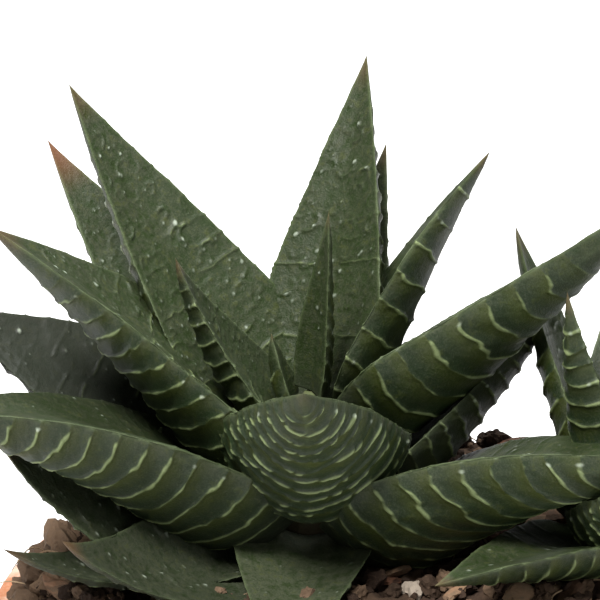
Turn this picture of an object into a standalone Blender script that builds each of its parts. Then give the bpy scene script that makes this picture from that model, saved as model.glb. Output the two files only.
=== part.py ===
"""A potted rosette plant of the aloe family: plain clay pot, soil, a main plant and an offset.

Sizes are in metres. +Z is up, and the pot stands on z = 0 with its axis on the Z axis.
Azimuths are in degrees, counter-clockwise seen from above, from +X. -Y is the front.
"""

import math
from collections import namedtuple

import bmesh
import bpy
from mathutils import Vector
from mathutils.bvhtree import BVHTree

MM = 0.001

# Pot
POT_RIM_DIAMETER = 0.132
POT_BASE_DIAMETER = 0.096
POT_HEIGHT = 0.115
POT_WALL = 0.0035
POT_FLOOR = 0.0050
POT_BAND_HEIGHT = 0.024
POT_BAND_STEP = 0.0025
POT_SEGMENTS = 48
DRAIN_HOLE_DIAMETER = 0.009
DRAIN_HOLE_RING_DIAMETER = 0.052
DRAIN_HOLES = 4

# Soil
CLEARANCE = 0.0003
SOIL_ABOVE_RIM = 0.0030
SOIL_MOUND = 0.0100
SOIL_MOUND_TOP_SHARE = 0.76
STEM_DEPTH_IN_SOIL = 0.0070

# Plants
MAIN_AXIS_X = -0.010
MAIN_AXIS_Y = 0.006
MAIN_STEM_RADIUS = 0.0080
MAIN_STEM_HEIGHT = 0.0270
PUP_AXIS_X = 0.0450
PUP_AXIS_Y = -0.0035
PUP_STEM_RADIUS = 0.0055
PUP_STEM_HEIGHT = 0.0190
STEM_SEGMENTS = 20

# Leaves
LEAF_LENGTH_SCALE = 1.0
LEAF_WIDTH_SCALE = 1.0
LEAF_THICKNESS_SCALE = 1.0
LEAF_CHANNEL_SHARE = 0.30
LEAF_GAP = 0.0005
WELDS = (0.00003, 0.00006, 0.00001, 0.000002)
LEAF_STATIONS = 9
LEAF_RING_POINTS = 12
LEAF_EDGE_SHARPNESS = 1.15

SOIL_TOP = POT_HEIGHT + SOIL_ABOVE_RIM + SOIL_MOUND

Stem = namedtuple("Stem", "name x y radius height")
MAIN = Stem("main_stem", MAIN_AXIS_X, MAIN_AXIS_Y, MAIN_STEM_RADIUS, MAIN_STEM_HEIGHT)
PUP = Stem("pup_stem", PUP_AXIS_X, PUP_AXIS_Y, PUP_STEM_RADIUS, PUP_STEM_HEIGHT)

# azimuth, rise at the foot, rise at the tip, bend (under 1 bends early), roll and twist: degrees.
# up (height of the foot above the soil), length, width, thick: millimetres.
# clasp: how wide the foot is, as a share of the full width.
Leaf = namedtuple("Leaf", "name up azimuth rise rise_tip bend length width thick roll twist clasp")

# From the crown outwards, so that each leaf makes room for the ones further in.
MAIN_LEAVES = (
    Leaf("main_leaf_core", 27.4, 32, 85, 84, 1.0, 33, 10, 3.6, 4, 0, 0.70),
    Leaf("main_leaf_core_left", 25.0, 168, 72, 76, 1.0, 13, 8, 3.0, 0, 0, 0.60),
    Leaf("main_leaf_inner_left", 22.0, 190, 51, 70, 1.0, 37, 22, 5.0, -12, 0, 0.50),
    Leaf("main_leaf_inner_right", 22.0, 38, 64, 38, 1.0, 52, 32, 6.0, -40, 0, 0.50),
    Leaf("main_leaf_front", 14.8, 268, 48, 35, 1.0, 53, 38, 11.0, 0, 0, 0.60),
    Leaf("main_leaf_back_tall", 20.0, 77, 63, 50, 1.0, 64, 32, 6.5, -28, 0, 0.42),
    Leaf("main_leaf_back_left_tall", 18.0, 146, 49, 54, 1.0, 70, 36, 7.5, -4, 0, 0.42),
    Leaf("main_leaf_right", 21.5, 8, 34, 39, 1.0, 68, 37, 9.5, -28, 0, 0.50),
    Leaf("main_leaf_left", 16.0, 189, 54, 36, 1.0, 65, 44, 9.5, 0, 0, 0.50),
    Leaf("main_leaf_back_right_low", 15.0, 71, 51, 55, 1.0, 54, 20, 6.0, -6, 0, 0.42),
    Leaf("main_leaf_back_left", 13.5, 139, 31, 47, 1.0, 70, 33, 7.0, -8, 0, 0.42),
    Leaf("main_leaf_back_right", 11.0, 46, 20, 26, 1.0, 56, 28, 6.5, 0, 0, 0.42),
    Leaf("main_leaf_low_left_front", 7.0, 207, 41, 2, 1.4, 78, 36, 12.5, 5, 0, 0.60),
    Leaf("main_leaf_low_right_front", 3.4, 332, 46, 0, 0.9, 72, 40, 12.0, -14, 0, 0.60),
    Leaf("main_leaf_low_right", 7.0, 18, 36, 56, 1.0, 57, 34, 6.5, -16, 0, 0.45),
    Leaf("main_leaf_low_left", 9.0, 168, 30, 22, 1.0, 65, 38, 8.0, -26, 0, 0.42),
    Leaf("main_leaf_back", 9.0, 106, 14, 16, 1.0, 58, 30, 6.5, 0, 0, 0.42),
    Leaf("main_leaf_lowest_left", 5.5, 202, 2, 48, 1.0, 56, 38, 5.5, -44, 0, 0.42),
    Leaf("main_leaf_lowest_back_left", 5.0, 135, 5, 8, 1.0, 54, 26, 5.0, 0, 0, 0.40),
    Leaf("main_leaf_lowest_back", 5.0, 76, 5, 8, 1.0, 52, 26, 5.0, 0, 0, 0.40),
    Leaf("main_leaf_lowest_front", 3.6, 264, -3, -8, 1.0, 42, 27, 4.5, 0, 0, 0.36),
    Leaf("main_leaf_ground_left", 2.8, 223, -9, 44, 1.0, 53, 31, 4.5, -30, 0, 0.42),
    Leaf("main_leaf_ground_far_left", 1.8, 209, -14, 36, 1.0, 54, 26, 3.4, -6, 0, 0.40),
)
PUP_LEAVES = (
    Leaf("pup_leaf_core", 19.4, 20, 84, 86, 1.0, 22, 8, 3.0, 0, 0, 0.70),
    Leaf("pup_leaf_upright_left", 12.0, 205, 76, 80, 1.0, 42, 18, 4.5, 0, 0, 0.50),
    Leaf("pup_leaf_upright_back", 13.0, 58, 66, 70, 1.0, 44, 19, 4.5, 0, 0, 0.50),
    Leaf("pup_leaf_back_left", 9.0, 126, 51, 61, 1.0, 50, 26, 5.5, 34, 0, 0.50),
    Leaf("pup_leaf_front", 6.0, 262, 48, 36, 1.0, 32, 25, 6.0, 0, 0, 0.60),
    Leaf("pup_leaf_right", 8.0, 352, 34, 42, 1.0, 46, 24, 6.0, -10, 0, 0.50),
    Leaf("pup_leaf_back", 6.0, 95, 26, 34, 1.0, 42, 24, 5.5, 0, 0, 0.45),
    Leaf("pup_leaf_low_left", 4.5, 222, 16, 2, 1.0, 42, 25, 5.5, 10, 0, 0.50),
    Leaf("pup_leaf_low_right", 4.5, 308, 10, 14, 1.0, 40, 24, 5.5, 0, 0, 0.45),
    Leaf("pup_leaf_low_back_right", 4.0, 40, 10, 18, 1.0, 42, 24, 5.0, 0, 0, 0.42),
    Leaf("pup_leaf_small_left", 3.5, 152, 38, 48, 1.0, 22, 12, 3.5, 0, 0, 0.50),
)


def clear_scene():
    for obj in list(bpy.data.objects):
        bpy.data.objects.remove(obj, do_unlink=True)


def make_collection(name, parent):
    made = bpy.data.collections.new(name)
    parent.children.link(made)
    return made


def make_material(name, colour, roughness):
    made = bpy.data.materials.new(name)
    made.use_nodes = True
    shader = made.node_tree.nodes["Principled BSDF"]
    shader.inputs["Base Color"].default_value = (*colour, 1.0)
    shader.inputs["Roughness"].default_value = roughness
    made.diffuse_color = (*colour, 1.0)
    return made


def make_mesh_object(name, points, faces, collection, material=None, sharp_degrees=40.0):
    mesh = bpy.data.meshes.new(name)
    mesh.from_pydata([tuple(p) for p in points], [], faces)
    form = bmesh.new()
    form.from_mesh(mesh)
    bmesh.ops.recalc_face_normals(form, faces=form.faces)
    for face in form.faces:
        face.smooth = True
    form.to_mesh(mesh)
    form.free()
    mesh.set_sharp_from_angle(angle=math.radians(sharp_degrees))
    made = bpy.data.objects.new(name, mesh)
    collection.objects.link(made)
    if material:
        made.data.materials.append(material)
    return made


def make_turned(name, profile, segments, collection, material=None):
    """A closed round solid from (radius, height) points; the first and last lie on the axis."""
    mesh = bpy.data.meshes.new(name)
    edges = [(i, i + 1) for i in range(len(profile) - 1)]
    mesh.from_pydata([(r, 0.0, z) for r, z in profile], edges, [])
    made = bpy.data.objects.new(name, mesh)
    collection.objects.link(made)
    screw = made.modifiers.new("Turn", "SCREW")
    screw.axis = "Z"
    screw.angle = math.tau
    screw.steps = segments
    screw.render_steps = segments
    screw.use_merge_vertices = True
    screw.merge_threshold = 0.00005
    screw.use_normal_calculate = True
    screw.use_smooth_shade = True
    if material:
        made.data.materials.append(material)
    return made


def cut(target, cutter, name):
    trim = target.modifiers.new(name, "BOOLEAN")
    trim.operation = "DIFFERENCE"
    trim.solver = "EXACT"
    trim.object = cutter
    return trim


def make_cutter(obj):
    obj.hide_render = True
    obj.display_type = "WIRE"
    return obj


def pot_radius(height):
    """Outer radius of the pot's plain wall at this height, under the band."""
    share = height / POT_HEIGHT
    top = POT_RIM_DIAMETER / 2 - POT_BAND_STEP
    return POT_BASE_DIAMETER / 2 + (top - POT_BASE_DIAMETER / 2) * share


def pot_inner_radius(height):
    return pot_radius(height) - POT_WALL


def pot_profile():
    round_edge = 0.0012
    band_foot = POT_HEIGHT - POT_BAND_HEIGHT
    rim = POT_RIM_DIAMETER / 2
    base = POT_BASE_DIAMETER / 2
    inner_top = pot_inner_radius(POT_HEIGHT)
    return (
        (0.0, 0.0),
        (base - round_edge, 0.0),
        (base, round_edge),
        (pot_radius(band_foot), band_foot),
        (rim - round_edge * 0.6, band_foot + round_edge * 0.4),
        (rim - round_edge * 0.2, band_foot + round_edge * 1.4),
        (rim, POT_HEIGHT - round_edge),
        (rim - round_edge * 0.3, POT_HEIGHT - round_edge * 0.3),
        (rim - round_edge, POT_HEIGHT),
        (inner_top + round_edge, POT_HEIGHT),
        (inner_top, POT_HEIGHT - round_edge),
        (pot_inner_radius(POT_FLOOR + 0.002), POT_FLOOR + 0.002),
        (pot_inner_radius(POT_FLOOR) - 0.002, POT_FLOOR),
        (0.0, POT_FLOOR),
    )


def make_pot(collection, helpers, material):
    pot = make_turned("pot", pot_profile(), POT_SEGMENTS, collection, material)
    for index in range(DRAIN_HOLES):
        angle = math.tau * (index + 0.5) / DRAIN_HOLES
        bpy.ops.mesh.primitive_cylinder_add(
            vertices=24,
            radius=DRAIN_HOLE_DIAMETER / 2,
            depth=POT_FLOOR * 3,
            location=(
                math.cos(angle) * DRAIN_HOLE_RING_DIAMETER / 2,
                math.sin(angle) * DRAIN_HOLE_RING_DIAMETER / 2,
                POT_FLOOR / 2,
            ),
        )
        drill = bpy.context.object
        drill.name = f"drain_drill_{index + 1}"
        for owner in list(drill.users_collection):
            owner.objects.unlink(drill)
        helpers.objects.link(drill)
        cut(pot, make_cutter(drill), f"Drain {index + 1}")
    return pot


def soil_edge_radius():
    return pot_inner_radius(POT_HEIGHT) - CLEARANCE


def soil_height(radius):
    """Height of the soil's surface at this distance from the pot's axis."""
    edge = soil_edge_radius()
    flat = edge * SOIL_MOUND_TOP_SHARE
    if radius <= flat:
        return SOIL_TOP
    share = min(1.0, (radius - flat) / (edge - flat))
    return SOIL_TOP - SOIL_MOUND * (1.0 - math.cos(math.pi * share * 0.62)) / (1.0 - math.cos(math.pi * 0.62))


def make_soil(collection, helpers, material):
    edge = soil_edge_radius()
    low = POT_FLOOR + CLEARANCE
    inside = pot_inner_radius(POT_FLOOR + 0.002) - CLEARANCE * 1.2
    profile = [(0.0, low), (inside - 0.0024, low), (inside, low + 0.0024)]
    profile.append((edge, POT_HEIGHT - 0.0014))
    profile.append((edge, POT_HEIGHT + SOIL_ABOVE_RIM * 0.4))
    steps = 5
    for index in range(steps + 1):
        radius = edge - 0.0008 - (edge * (1 - SOIL_MOUND_TOP_SHARE) - 0.0008) * index / steps
        profile.append((radius, soil_height(radius)))
    profile.append((0.0, SOIL_TOP))
    soil = make_turned("soil", profile, POT_SEGMENTS, collection, material)
    for stem in (MAIN, PUP):
        depth = STEM_DEPTH_IN_SOIL + CLEARANCE
        bpy.ops.mesh.primitive_cylinder_add(
            vertices=STEM_SEGMENTS,
            radius=stem_radius(stem, 0.0) + CLEARANCE * 2,
            depth=depth * 2,
            location=(stem.x, stem.y, SOIL_TOP),
        )
        pocket = bpy.context.object
        pocket.name = stem.name + "_pocket"
        for owner in list(pocket.users_collection):
            owner.objects.unlink(pocket)
        helpers.objects.link(pocket)
        cut(soil, make_cutter(pocket), stem.name + " pocket")
    return soil


def stem_radius(stem, up):
    """Radius of the stem at a height above the soil: a short post that narrows to the crown."""
    share = max(0.0, min(1.0, up / stem.height))
    return stem.radius * (1.0 - 0.80 * share**1.6)


def make_stem(stem, collection, material):
    foot = -STEM_DEPTH_IN_SOIL
    steps = 7
    profile = [(0.0, foot), (stem.radius, foot)]
    for index in range(steps + 1):
        up = stem.height * index / steps
        profile.append((stem_radius(stem, up), up))
    profile.append((0.0, stem.height + 0.0003))
    made = make_turned(stem.name, profile, STEM_SEGMENTS, collection, material)
    made.location = (stem.x, stem.y, SOIL_TOP)
    return made


def turned_mesh(profile, segments, x, y):
    """Points and faces of a closed round solid about an upright axis; the profile's ends lie on the axis."""
    points, faces = [(x, y, profile[0][1]), (x, y, profile[-1][1])], []
    rings = profile[1:-1]
    for radius, height in rings:
        for i in range(segments):
            angle = math.tau * i / segments
            points.append((x + radius * math.cos(angle), y + radius * math.sin(angle), height))
    for i in range(segments):
        a, b = 2 + i, 2 + (i + 1) % segments
        faces.append((0, b, a))
        for row in range(len(rings) - 1):
            low, high = row * segments, (row + 1) * segments
            faces.append((a + low, b + low, b + high, a + high))
        last = (len(rings) - 1) * segments
        faces.append((1, a + last, b + last))
    return points, faces


def make_room(name, profile, segments, x, y, helpers):
    """The tool that keeps leaves clear of a round solid, with the tree that finds which leaves need it."""
    points, faces = turned_mesh(profile, segments, x, y)
    tool = make_mesh_object(name, points, faces, helpers)
    return make_cutter(tool), BVHTree.FromPolygons(points, faces)


def make_rooms(helpers):
    """Room round the soil's surface and round each stem."""
    edge = soil_edge_radius() + CLEARANCE
    profile = [(0.0, POT_HEIGHT - 0.020), (edge, POT_HEIGHT - 0.020)]
    steps = 5
    for index in range(steps + 1):
        radius = edge - edge * (1 - SOIL_MOUND_TOP_SHARE) * index / steps
        profile.append((radius, soil_height(radius - CLEARANCE) + CLEARANCE * 1.5))
    profile.append((0.0, SOIL_TOP + CLEARANCE * 1.5))
    rooms = [make_room("soil_room", profile, POT_SEGMENTS, 0.0, 0.0, helpers)]
    for stem in (MAIN, PUP):
        foot = SOIL_TOP - STEM_DEPTH_IN_SOIL
        profile = [(0.0, foot), (stem.radius + CLEARANCE, foot)]
        for index in range(8):
            up = stem.height * index / 7
            profile.append((stem_radius(stem, up) + CLEARANCE, SOIL_TOP + up))
        profile.append((0.0, SOIL_TOP + stem.height + 0.0003 + CLEARANCE))
        rooms.append(make_room(stem.name + "_room", profile, STEM_SEGMENTS, stem.x, stem.y, helpers))
    return rooms


def width_share(along, clasp):
    """Share of the full width at a place along the leaf, 0 at the foot and 1 at the tip."""
    opened = clasp + (1.0 - clasp) * math.sin(math.pi / 2 * min(1.0, along / 0.20))
    return opened * (1.0 - along) ** 1.12 * (1.0 + 0.70 * along)


def leaf_sections(leaf, stem, stations):
    """The middle, side, upward and outward directions, half-width and thickness at each place along a leaf."""
    length = leaf.length * MM * LEAF_LENGTH_SCALE
    half_full = leaf.width * MM * LEAF_WIDTH_SCALE / 2
    thick_full = leaf.thick * MM * LEAF_THICKNESS_SCALE
    azimuth = math.radians(leaf.azimuth)
    rises = [
        math.radians(leaf.rise + (leaf.rise_tip - leaf.rise) * (i / stations) ** leaf.bend)
        for i in range(stations + 1)
    ]
    aim = [
        Vector((math.cos(r) * math.cos(azimuth), math.cos(r) * math.sin(azimuth), math.sin(r)))
        for r in rises
    ]
    side = Vector((-math.sin(azimuth), math.cos(azimuth), 0.0))
    foot_half = half_full * width_share(0.0, leaf.clasp)
    stand_off = LEAF_CHANNEL_SHARE * foot_half + 0.12 * thick_full
    radius = stem_radius(stem, leaf.up * MM) + CLEARANCE + stand_off * max(0.0, math.sin(rises[0]))
    if leaf.up * MM > stem.height:
        radius = 0.0
    middle = Vector(
        (
            stem.x + radius * math.cos(azimuth),
            stem.y + radius * math.sin(azimuth),
            SOIL_TOP + leaf.up * MM,
        )
    )
    sections = []
    for i in range(stations + 1):
        along = i / stations
        if i:
            middle = middle + (aim[i] + aim[i - 1]) * (length / stations / 2)
        roll = math.radians(leaf.roll + leaf.twist * along)
        up = aim[i].cross(side)
        if up.z < 0:
            up = -up
        across = side * math.cos(roll) + up * math.sin(roll)
        above = up * math.cos(roll) - side * math.sin(roll)
        half = half_full * width_share(along, leaf.clasp)
        fullness = min(1.0, half / half_full / 0.85) ** 0.75
        thick = min(thick_full * fullness, half * 1.1)
        channel = LEAF_CHANNEL_SHARE * half * (1.0 - 0.35 * along)
        sections.append((middle.copy(), across, above, aim[i], half, thick, channel))
    return sections


def leaf_mesh(leaf, stem, grow=0.0):
    """Points and faces of a leaf. grow makes it larger all round, for the tool that trims its neighbours."""
    sections = leaf_sections(leaf, stem, LEAF_STATIONS)
    count = LEAF_RING_POINTS
    points, faces = [], []
    for index, (middle, across, above, aim, half, thick, channel) in enumerate(sections[:-1]):
        if index == 0:
            middle = middle - aim * grow
        for j in range(count):
            angle = math.tau * j / count
            x, y = math.cos(angle), math.sin(angle)
            shift = x * grow * 1.5
            height = channel * abs(x) ** 1.5 + 1.5 * channel / half * abs(x) ** 0.5 * abs(shift)
            if y >= 0:
                height += 0.12 * thick * y + grow * abs(y) ** 0.3
            else:
                height -= 0.88 * thick * abs(y) ** LEAF_EDGE_SHARPNESS + grow * abs(y) ** 0.3
            points.append(middle + across * (x * half + shift) + above * height)
    rings = len(sections) - 1
    for i in range(rings - 1):
        for j in range(count):
            a, b = i * count + j, i * count + (j + 1) % count
            faces.append((a, b, b + count, a + count))
    tip_middle, _, _, tip_aim, _, _, _ = sections[-1]
    points.append(tip_middle + tip_aim * grow * 2)
    tip = len(points) - 1
    last = (rings - 1) * count
    for j in range(count):
        faces.append((last + j, last + (j + 1) % count, tip))
    faces.append(tuple(reversed(range(count))))
    return points, faces


def enclosed_volume(faces):
    total = 0.0
    for face in faces:
        corners = [vert.co for vert in face.verts]
        for i in range(1, len(corners) - 1):
            total += corners[0].dot(corners[i].cross(corners[i + 1])) / 6
    return abs(total)


def joined_groups(form):
    """The separate pieces of a mesh, as lists of faces that meet two by two along their edges."""
    left = set(form.faces)
    groups = []
    while left:
        seed = left.pop()
        group, queue = [seed], [seed]
        while queue:
            for edge in queue.pop().edges:
                if len(edge.link_faces) != 2:
                    continue
                for face in edge.link_faces:
                    if face in left:
                        left.discard(face)
                        group.append(face)
                        queue.append(face)
        groups.append(group)
    return groups


def tidy_form(mesh, weld):
    """A mesh with its seams welded, without slivers and with only its one large piece."""
    form = bmesh.new()
    form.from_mesh(mesh)
    bmesh.ops.remove_doubles(form, verts=form.verts, dist=weld)
    bmesh.ops.triangulate(form, faces=form.faces)
    bmesh.ops.dissolve_degenerate(form, edges=form.edges, dist=weld)
    groups = sorted(joined_groups(form), key=enclosed_volume)
    spare = [face for group in groups[:-1] for face in group]
    if spare:
        bmesh.ops.delete(form, geom=spare, context="FACES")
    return form


def trim(obj, cutter):
    """Cuts one object clear of another and makes the result its own clean, closed mesh."""
    cut(obj, cutter, "Clear")
    bpy.context.view_layer.update()
    graph = bpy.context.evaluated_depsgraph_get()
    mesh = bpy.data.meshes.new_from_object(obj.evaluated_get(graph), depsgraph=graph)
    obj.modifiers.clear()
    for weld in WELDS:
        form = tidy_form(mesh, weld)
        closed = all(edge.is_manifold for edge in form.edges)
        if closed or weld == WELDS[-1]:
            form.to_mesh(mesh)
        form.free()
        if closed:
            break
    obj.data = mesh


def make_leaves(leaves, stem, collection, helpers, material, done):
    """Adds leaves from the crown outwards, each trimmed clear of those already made."""
    made = []
    for leaf in leaves:
        points, faces = leaf_mesh(leaf, stem)
        obj = make_mesh_object(leaf.name, points, faces, collection, material)
        own = BVHTree.FromPolygons(points, faces)
        for other, tree in done:
            if own.overlap(tree):
                trim(obj, other)
        grown_points, grown_faces = leaf_mesh(leaf, stem, LEAF_GAP)
        tool = make_mesh_object(leaf.name + "_room", grown_points, grown_faces, helpers)
        done.append((make_cutter(tool), BVHTree.FromPolygons(grown_points, grown_faces)))
        made.append(obj)
    return made


def main():
    clear_scene()
    scene = bpy.context.scene
    scene.unit_settings.system = "METRIC"
    scene.unit_settings.scale_length = 1.0
    plant = make_collection("potted_aloe_plant", scene.collection)
    helpers = make_collection("helpers", scene.collection)
    clay = make_material("clay", (0.50, 0.22, 0.12), 0.85)
    earth = make_material("earth", (0.11, 0.065, 0.045), 0.95)
    stem_green = make_material("stem_green", (0.20, 0.24, 0.09), 0.60)
    leaf_green = make_material("leaf_green", (0.045, 0.085, 0.030), 0.40)
    make_pot(plant, helpers, clay)
    make_soil(plant, helpers, earth)
    done = make_rooms(helpers)
    for stem, leaves in ((MAIN, MAIN_LEAVES), (PUP, PUP_LEAVES)):
        make_stem(stem, plant, stem_green)
        make_leaves(leaves, stem, plant, helpers, leaf_green, done)


main()
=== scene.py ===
"""Looks of a potted rosette plant with one offset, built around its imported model.

Sizes are in metres unless a name says otherwise. +Z is up and the pot stands on z = 0 with its
axis on the Z axis. Azimuths are in degrees, counter-clockwise seen from above, from +X.
"""

import logging
import math
from dataclasses import dataclass, field
from enum import Enum
from typing import Dict, List, Optional, Sequence, Tuple, Union

import bpy
import numpy as np
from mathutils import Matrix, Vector


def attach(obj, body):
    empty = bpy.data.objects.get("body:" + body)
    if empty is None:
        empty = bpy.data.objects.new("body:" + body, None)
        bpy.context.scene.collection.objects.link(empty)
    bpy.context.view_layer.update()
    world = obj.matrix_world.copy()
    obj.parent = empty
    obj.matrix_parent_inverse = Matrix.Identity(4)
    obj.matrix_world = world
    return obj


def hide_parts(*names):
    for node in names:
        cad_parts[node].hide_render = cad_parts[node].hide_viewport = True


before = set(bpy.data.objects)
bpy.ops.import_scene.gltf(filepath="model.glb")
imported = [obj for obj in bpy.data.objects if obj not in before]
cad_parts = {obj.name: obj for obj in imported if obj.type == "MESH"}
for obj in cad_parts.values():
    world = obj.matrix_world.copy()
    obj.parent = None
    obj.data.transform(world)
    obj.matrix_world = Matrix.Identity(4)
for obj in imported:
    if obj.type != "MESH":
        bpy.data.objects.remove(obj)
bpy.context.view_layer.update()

Colour = Tuple[float, float, float]
Point = Tuple[float, float, float]
Pairs = Sequence[Tuple[float, float]]

LOG = logging.getLogger("potted_plant")
MM = 0.001
BODY = "root"
RIDGE_BREADTH = 0.31 * MM
TOOTH_BREADTH = 0.55 * MM
# Painted shade added to each leaf's shading layer: on the underside, and at the foot near the
# crown.
UNDERSIDE_SHADE = 0.16
FOOT_SHADE = 0.45


# ---------------------------------------------------------------------------------------------
# Random numbers that come out the same on each run


def lattice(column: np.ndarray, row: np.ndarray, seed: int) -> np.ndarray:
    """A fixed number from 0 to 1 for each whole-numbered place on a plane.

    Args:
        column: Whole-numbered places across.
        row: Whole-numbered places along.
        seed: Picks one of many such planes.

    Returns:
        An array of the shape that column and row share.
    """
    mixed = column.astype(np.int64) * 374761393 + row.astype(np.int64) * 668265263
    mixed = (mixed + np.int64(seed) * 1274126177) & 0xFFFFFFFF
    mixed = ((mixed ^ (mixed >> 13)) * 1103515245) & 0xFFFFFFFF
    mixed = ((mixed ^ (mixed >> 15)) * 1140671485) & 0xFFFFFFFF
    return ((mixed ^ (mixed >> 16)) & 0xFFFFFF) / float(0xFFFFFF)


def hump(away: np.ndarray, breadth: float) -> np.ndarray:
    """1 where away is 0, falling smoothly to nothing over about twice the breadth."""
    return np.exp(-((away / breadth) ** 2))


def soft_noise(across: np.ndarray, along: np.ndarray, seed: int) -> np.ndarray:
    """Smooth noise from 0 to 1 on a plane, one swell per unit.

    Args:
        across: Places across.
        along: Places along.
        seed: Picks one of many such planes.

    Returns:
        An array of the shape that across and along share.
    """
    column, row = np.floor(across), np.floor(along)
    u, v = across - column, along - row
    u, v = u * u * (3 - 2 * u), v * v * (3 - 2 * v)
    low = lattice(column, row, seed) * (1 - u) + lattice(column + 1, row, seed) * u
    high = lattice(column, row + 1, seed) * (1 - u) + lattice(column + 1, row + 1, seed) * u
    return low * (1 - v) + high * v


def step(value: np.ndarray, low: float, high: float) -> np.ndarray:
    """Rises smoothly from 0 at low to 1 at high, or falls where low is the larger."""
    share = np.clip((value - low) / (high - low), 0.0, 1.0)
    return share * share * (3 - 2 * share)


# ---------------------------------------------------------------------------------------------
# Materials


class Flow:
    """A value in a material's nodes, so that shader maths reads as plain sums."""

    def __init__(self, sheet: "NodeSheet", socket: bpy.types.NodeSocket) -> None:
        """Wraps one output socket of a sheet's nodes."""
        self.sheet = sheet
        self.socket = socket

    def join(self, operation: str, *values: Union["Flow", float]) -> "Flow":
        """Runs a Math node on the values.

        Args:
            operation: The Math node's operation.
            values: Its inputs, in order.

        Returns:
            The node's output.
        """
        inputs = {index: value for index, value in enumerate(values)}
        return self.sheet.node("ShaderNodeMath", {"operation": operation}, inputs)

    def __add__(self, other: Union["Flow", float]) -> "Flow":
        """self + other."""
        return self.join("ADD", self, other)

    def __radd__(self, other: float) -> "Flow":
        """other + self."""
        return self.join("ADD", other, self)

    def __sub__(self, other: Union["Flow", float]) -> "Flow":
        """self - other."""
        return self.join("SUBTRACT", self, other)

    def __rsub__(self, other: float) -> "Flow":
        """other - self."""
        return self.join("SUBTRACT", other, self)

    def __mul__(self, other: Union["Flow", float]) -> "Flow":
        """self * other."""
        return self.join("MULTIPLY", self, other)

    def __rmul__(self, other: float) -> "Flow":
        """other * self."""
        return self.join("MULTIPLY", other, self)

    def power(self, exponent: float) -> "Flow":
        """self raised to a number."""
        return self.join("POWER", self, exponent)

    def ramp(self, low: float, high: float) -> "Flow":
        """Rises smoothly from 0 at low to 1 at high, or falls where low is the larger."""
        values = {"Value": self, "From Min": low, "From Max": high}
        return self.sheet.node("ShaderNodeMapRange", {"interpolation_type": "SMOOTHSTEP"}, values)


class NodeSheet:
    """The nodes of one material that is being made."""

    def __init__(self, name: str) -> None:
        """Starts a material with a Principled shader.

        Args:
            name: The material's name.
        """
        self.material = bpy.data.materials.new(name)
        self.material.use_nodes = True
        self.tree = self.material.node_tree
        self.shader = self.tree.nodes["Principled BSDF"]

    def node(
        self,
        kind: str,
        settings: Optional[Dict[str, object]] = None,
        inputs: Optional[Dict[Union[str, int], object]] = None,
        output: Union[str, int] = 0,
    ) -> Flow:
        """Adds a node.

        Args:
            kind: Its type, as Blender names it.
            settings: Its own settings; "stops" holds a ramp's (place, colour) pairs.
            inputs: A Flow, a number or a colour for each socket that isn't left as it is.
            output: The socket that is wanted.

        Returns:
            That output.
        """
        made = self.tree.nodes.new(kind)
        for key, value in (settings or {}).items():
            if key == "stops":
                self.set_stops(made.color_ramp, value)
            else:
                setattr(made, key, value)
        for key, value in (inputs or {}).items():
            self.feed(made.inputs[key], value)
        return Flow(self, made.outputs[output])

    @staticmethod
    def set_stops(ramp: bpy.types.ColorRamp, stops: Sequence[Tuple[float, Colour]]) -> None:
        """Gives a colour ramp its stops.

        Args:
            ramp: The ramp of a new node, which has two stops.
            stops: A place from 0 to 1 and a colour for each.
        """
        while len(ramp.elements) < len(stops):
            ramp.elements.new(0.5)
        for element, (place, colour) in zip(ramp.elements, stops):
            element.position = place
            element.color = (*colour, 1.0)

    def feed(self, socket: bpy.types.NodeSocket, value: object) -> None:
        """Links a Flow to a socket, or sets the socket's own value."""
        if isinstance(value, Flow):
            self.tree.links.new(value.socket, socket)
        elif isinstance(value, tuple) and socket.type == "RGBA":
            socket.default_value = (*value, 1.0)
        else:
            socket.default_value = value

    def mix(self, share: Union[Flow, float], first: object, second: object) -> Flow:
        """Mixes two colours.

        Args:
            share: How much of the second there is.
            first: A colour or Flow.
            second: A colour or Flow.

        Returns:
            The mixed colour.
        """
        inputs = {0: share, 6: first, 7: second}
        return self.node("ShaderNodeMix", {"data_type": "RGBA"}, inputs, output=2)

    def place(self) -> Flow:
        """The point's own coordinates, in metres."""
        return self.node("ShaderNodeTexCoord", output="Object")

    def noise(self, place: Flow, size: float, detail: float = 2.0, rough: float = 0.5) -> Flow:
        """Cloudy noise from 0 to 1.

        Args:
            place: The coordinates that it follows.
            size: How wide a swell is, in metres.
            detail: How many finer layers there are.
            rough: How strong the finer layers are.

        Returns:
            The noise.
        """
        inputs = {"Vector": place, "Scale": 1.0 / size, "Detail": detail, "Roughness": rough}
        return self.node("ShaderNodeTexNoise", {}, inputs)

    def layer(self, name: str) -> List[Flow]:
        """The four numbers of a painted layer of the mesh.

        Args:
            name: The layer's name.

        Returns:
            Its red, green, blue and alpha.
        """
        read = self.tree.nodes.new("ShaderNodeAttribute")
        read.attribute_name = name
        parts = self.tree.nodes.new("ShaderNodeSeparateColor")
        self.tree.links.new(read.outputs["Color"], parts.inputs[0])
        found = [Flow(self, parts.outputs[i]) for i in range(3)]
        return found + [Flow(self, read.outputs["Alpha"])]

    def bump(self, height: Flow, distance: float, strength: float = 1.0) -> Flow:
        """Turns a height into a normal.

        Args:
            height: From 0 to 1.
            distance: What a height of 1 stands for, in metres.
            strength: How much of it shows.

        Returns:
            The normal.
        """
        inputs = {"Height": height, "Distance": distance, "Strength": strength}
        return self.node("ShaderNodeBump", {}, inputs)

    def finish(self, **inputs: object) -> bpy.types.Material:
        """Feeds the Principled shader.

        Args:
            inputs: Its sockets, with _ for each space in a name.

        Returns:
            The finished material.
        """
        for key, value in inputs.items():
            self.feed(self.shader.inputs[key.replace("_", " ")], value)
        return self.material


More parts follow.
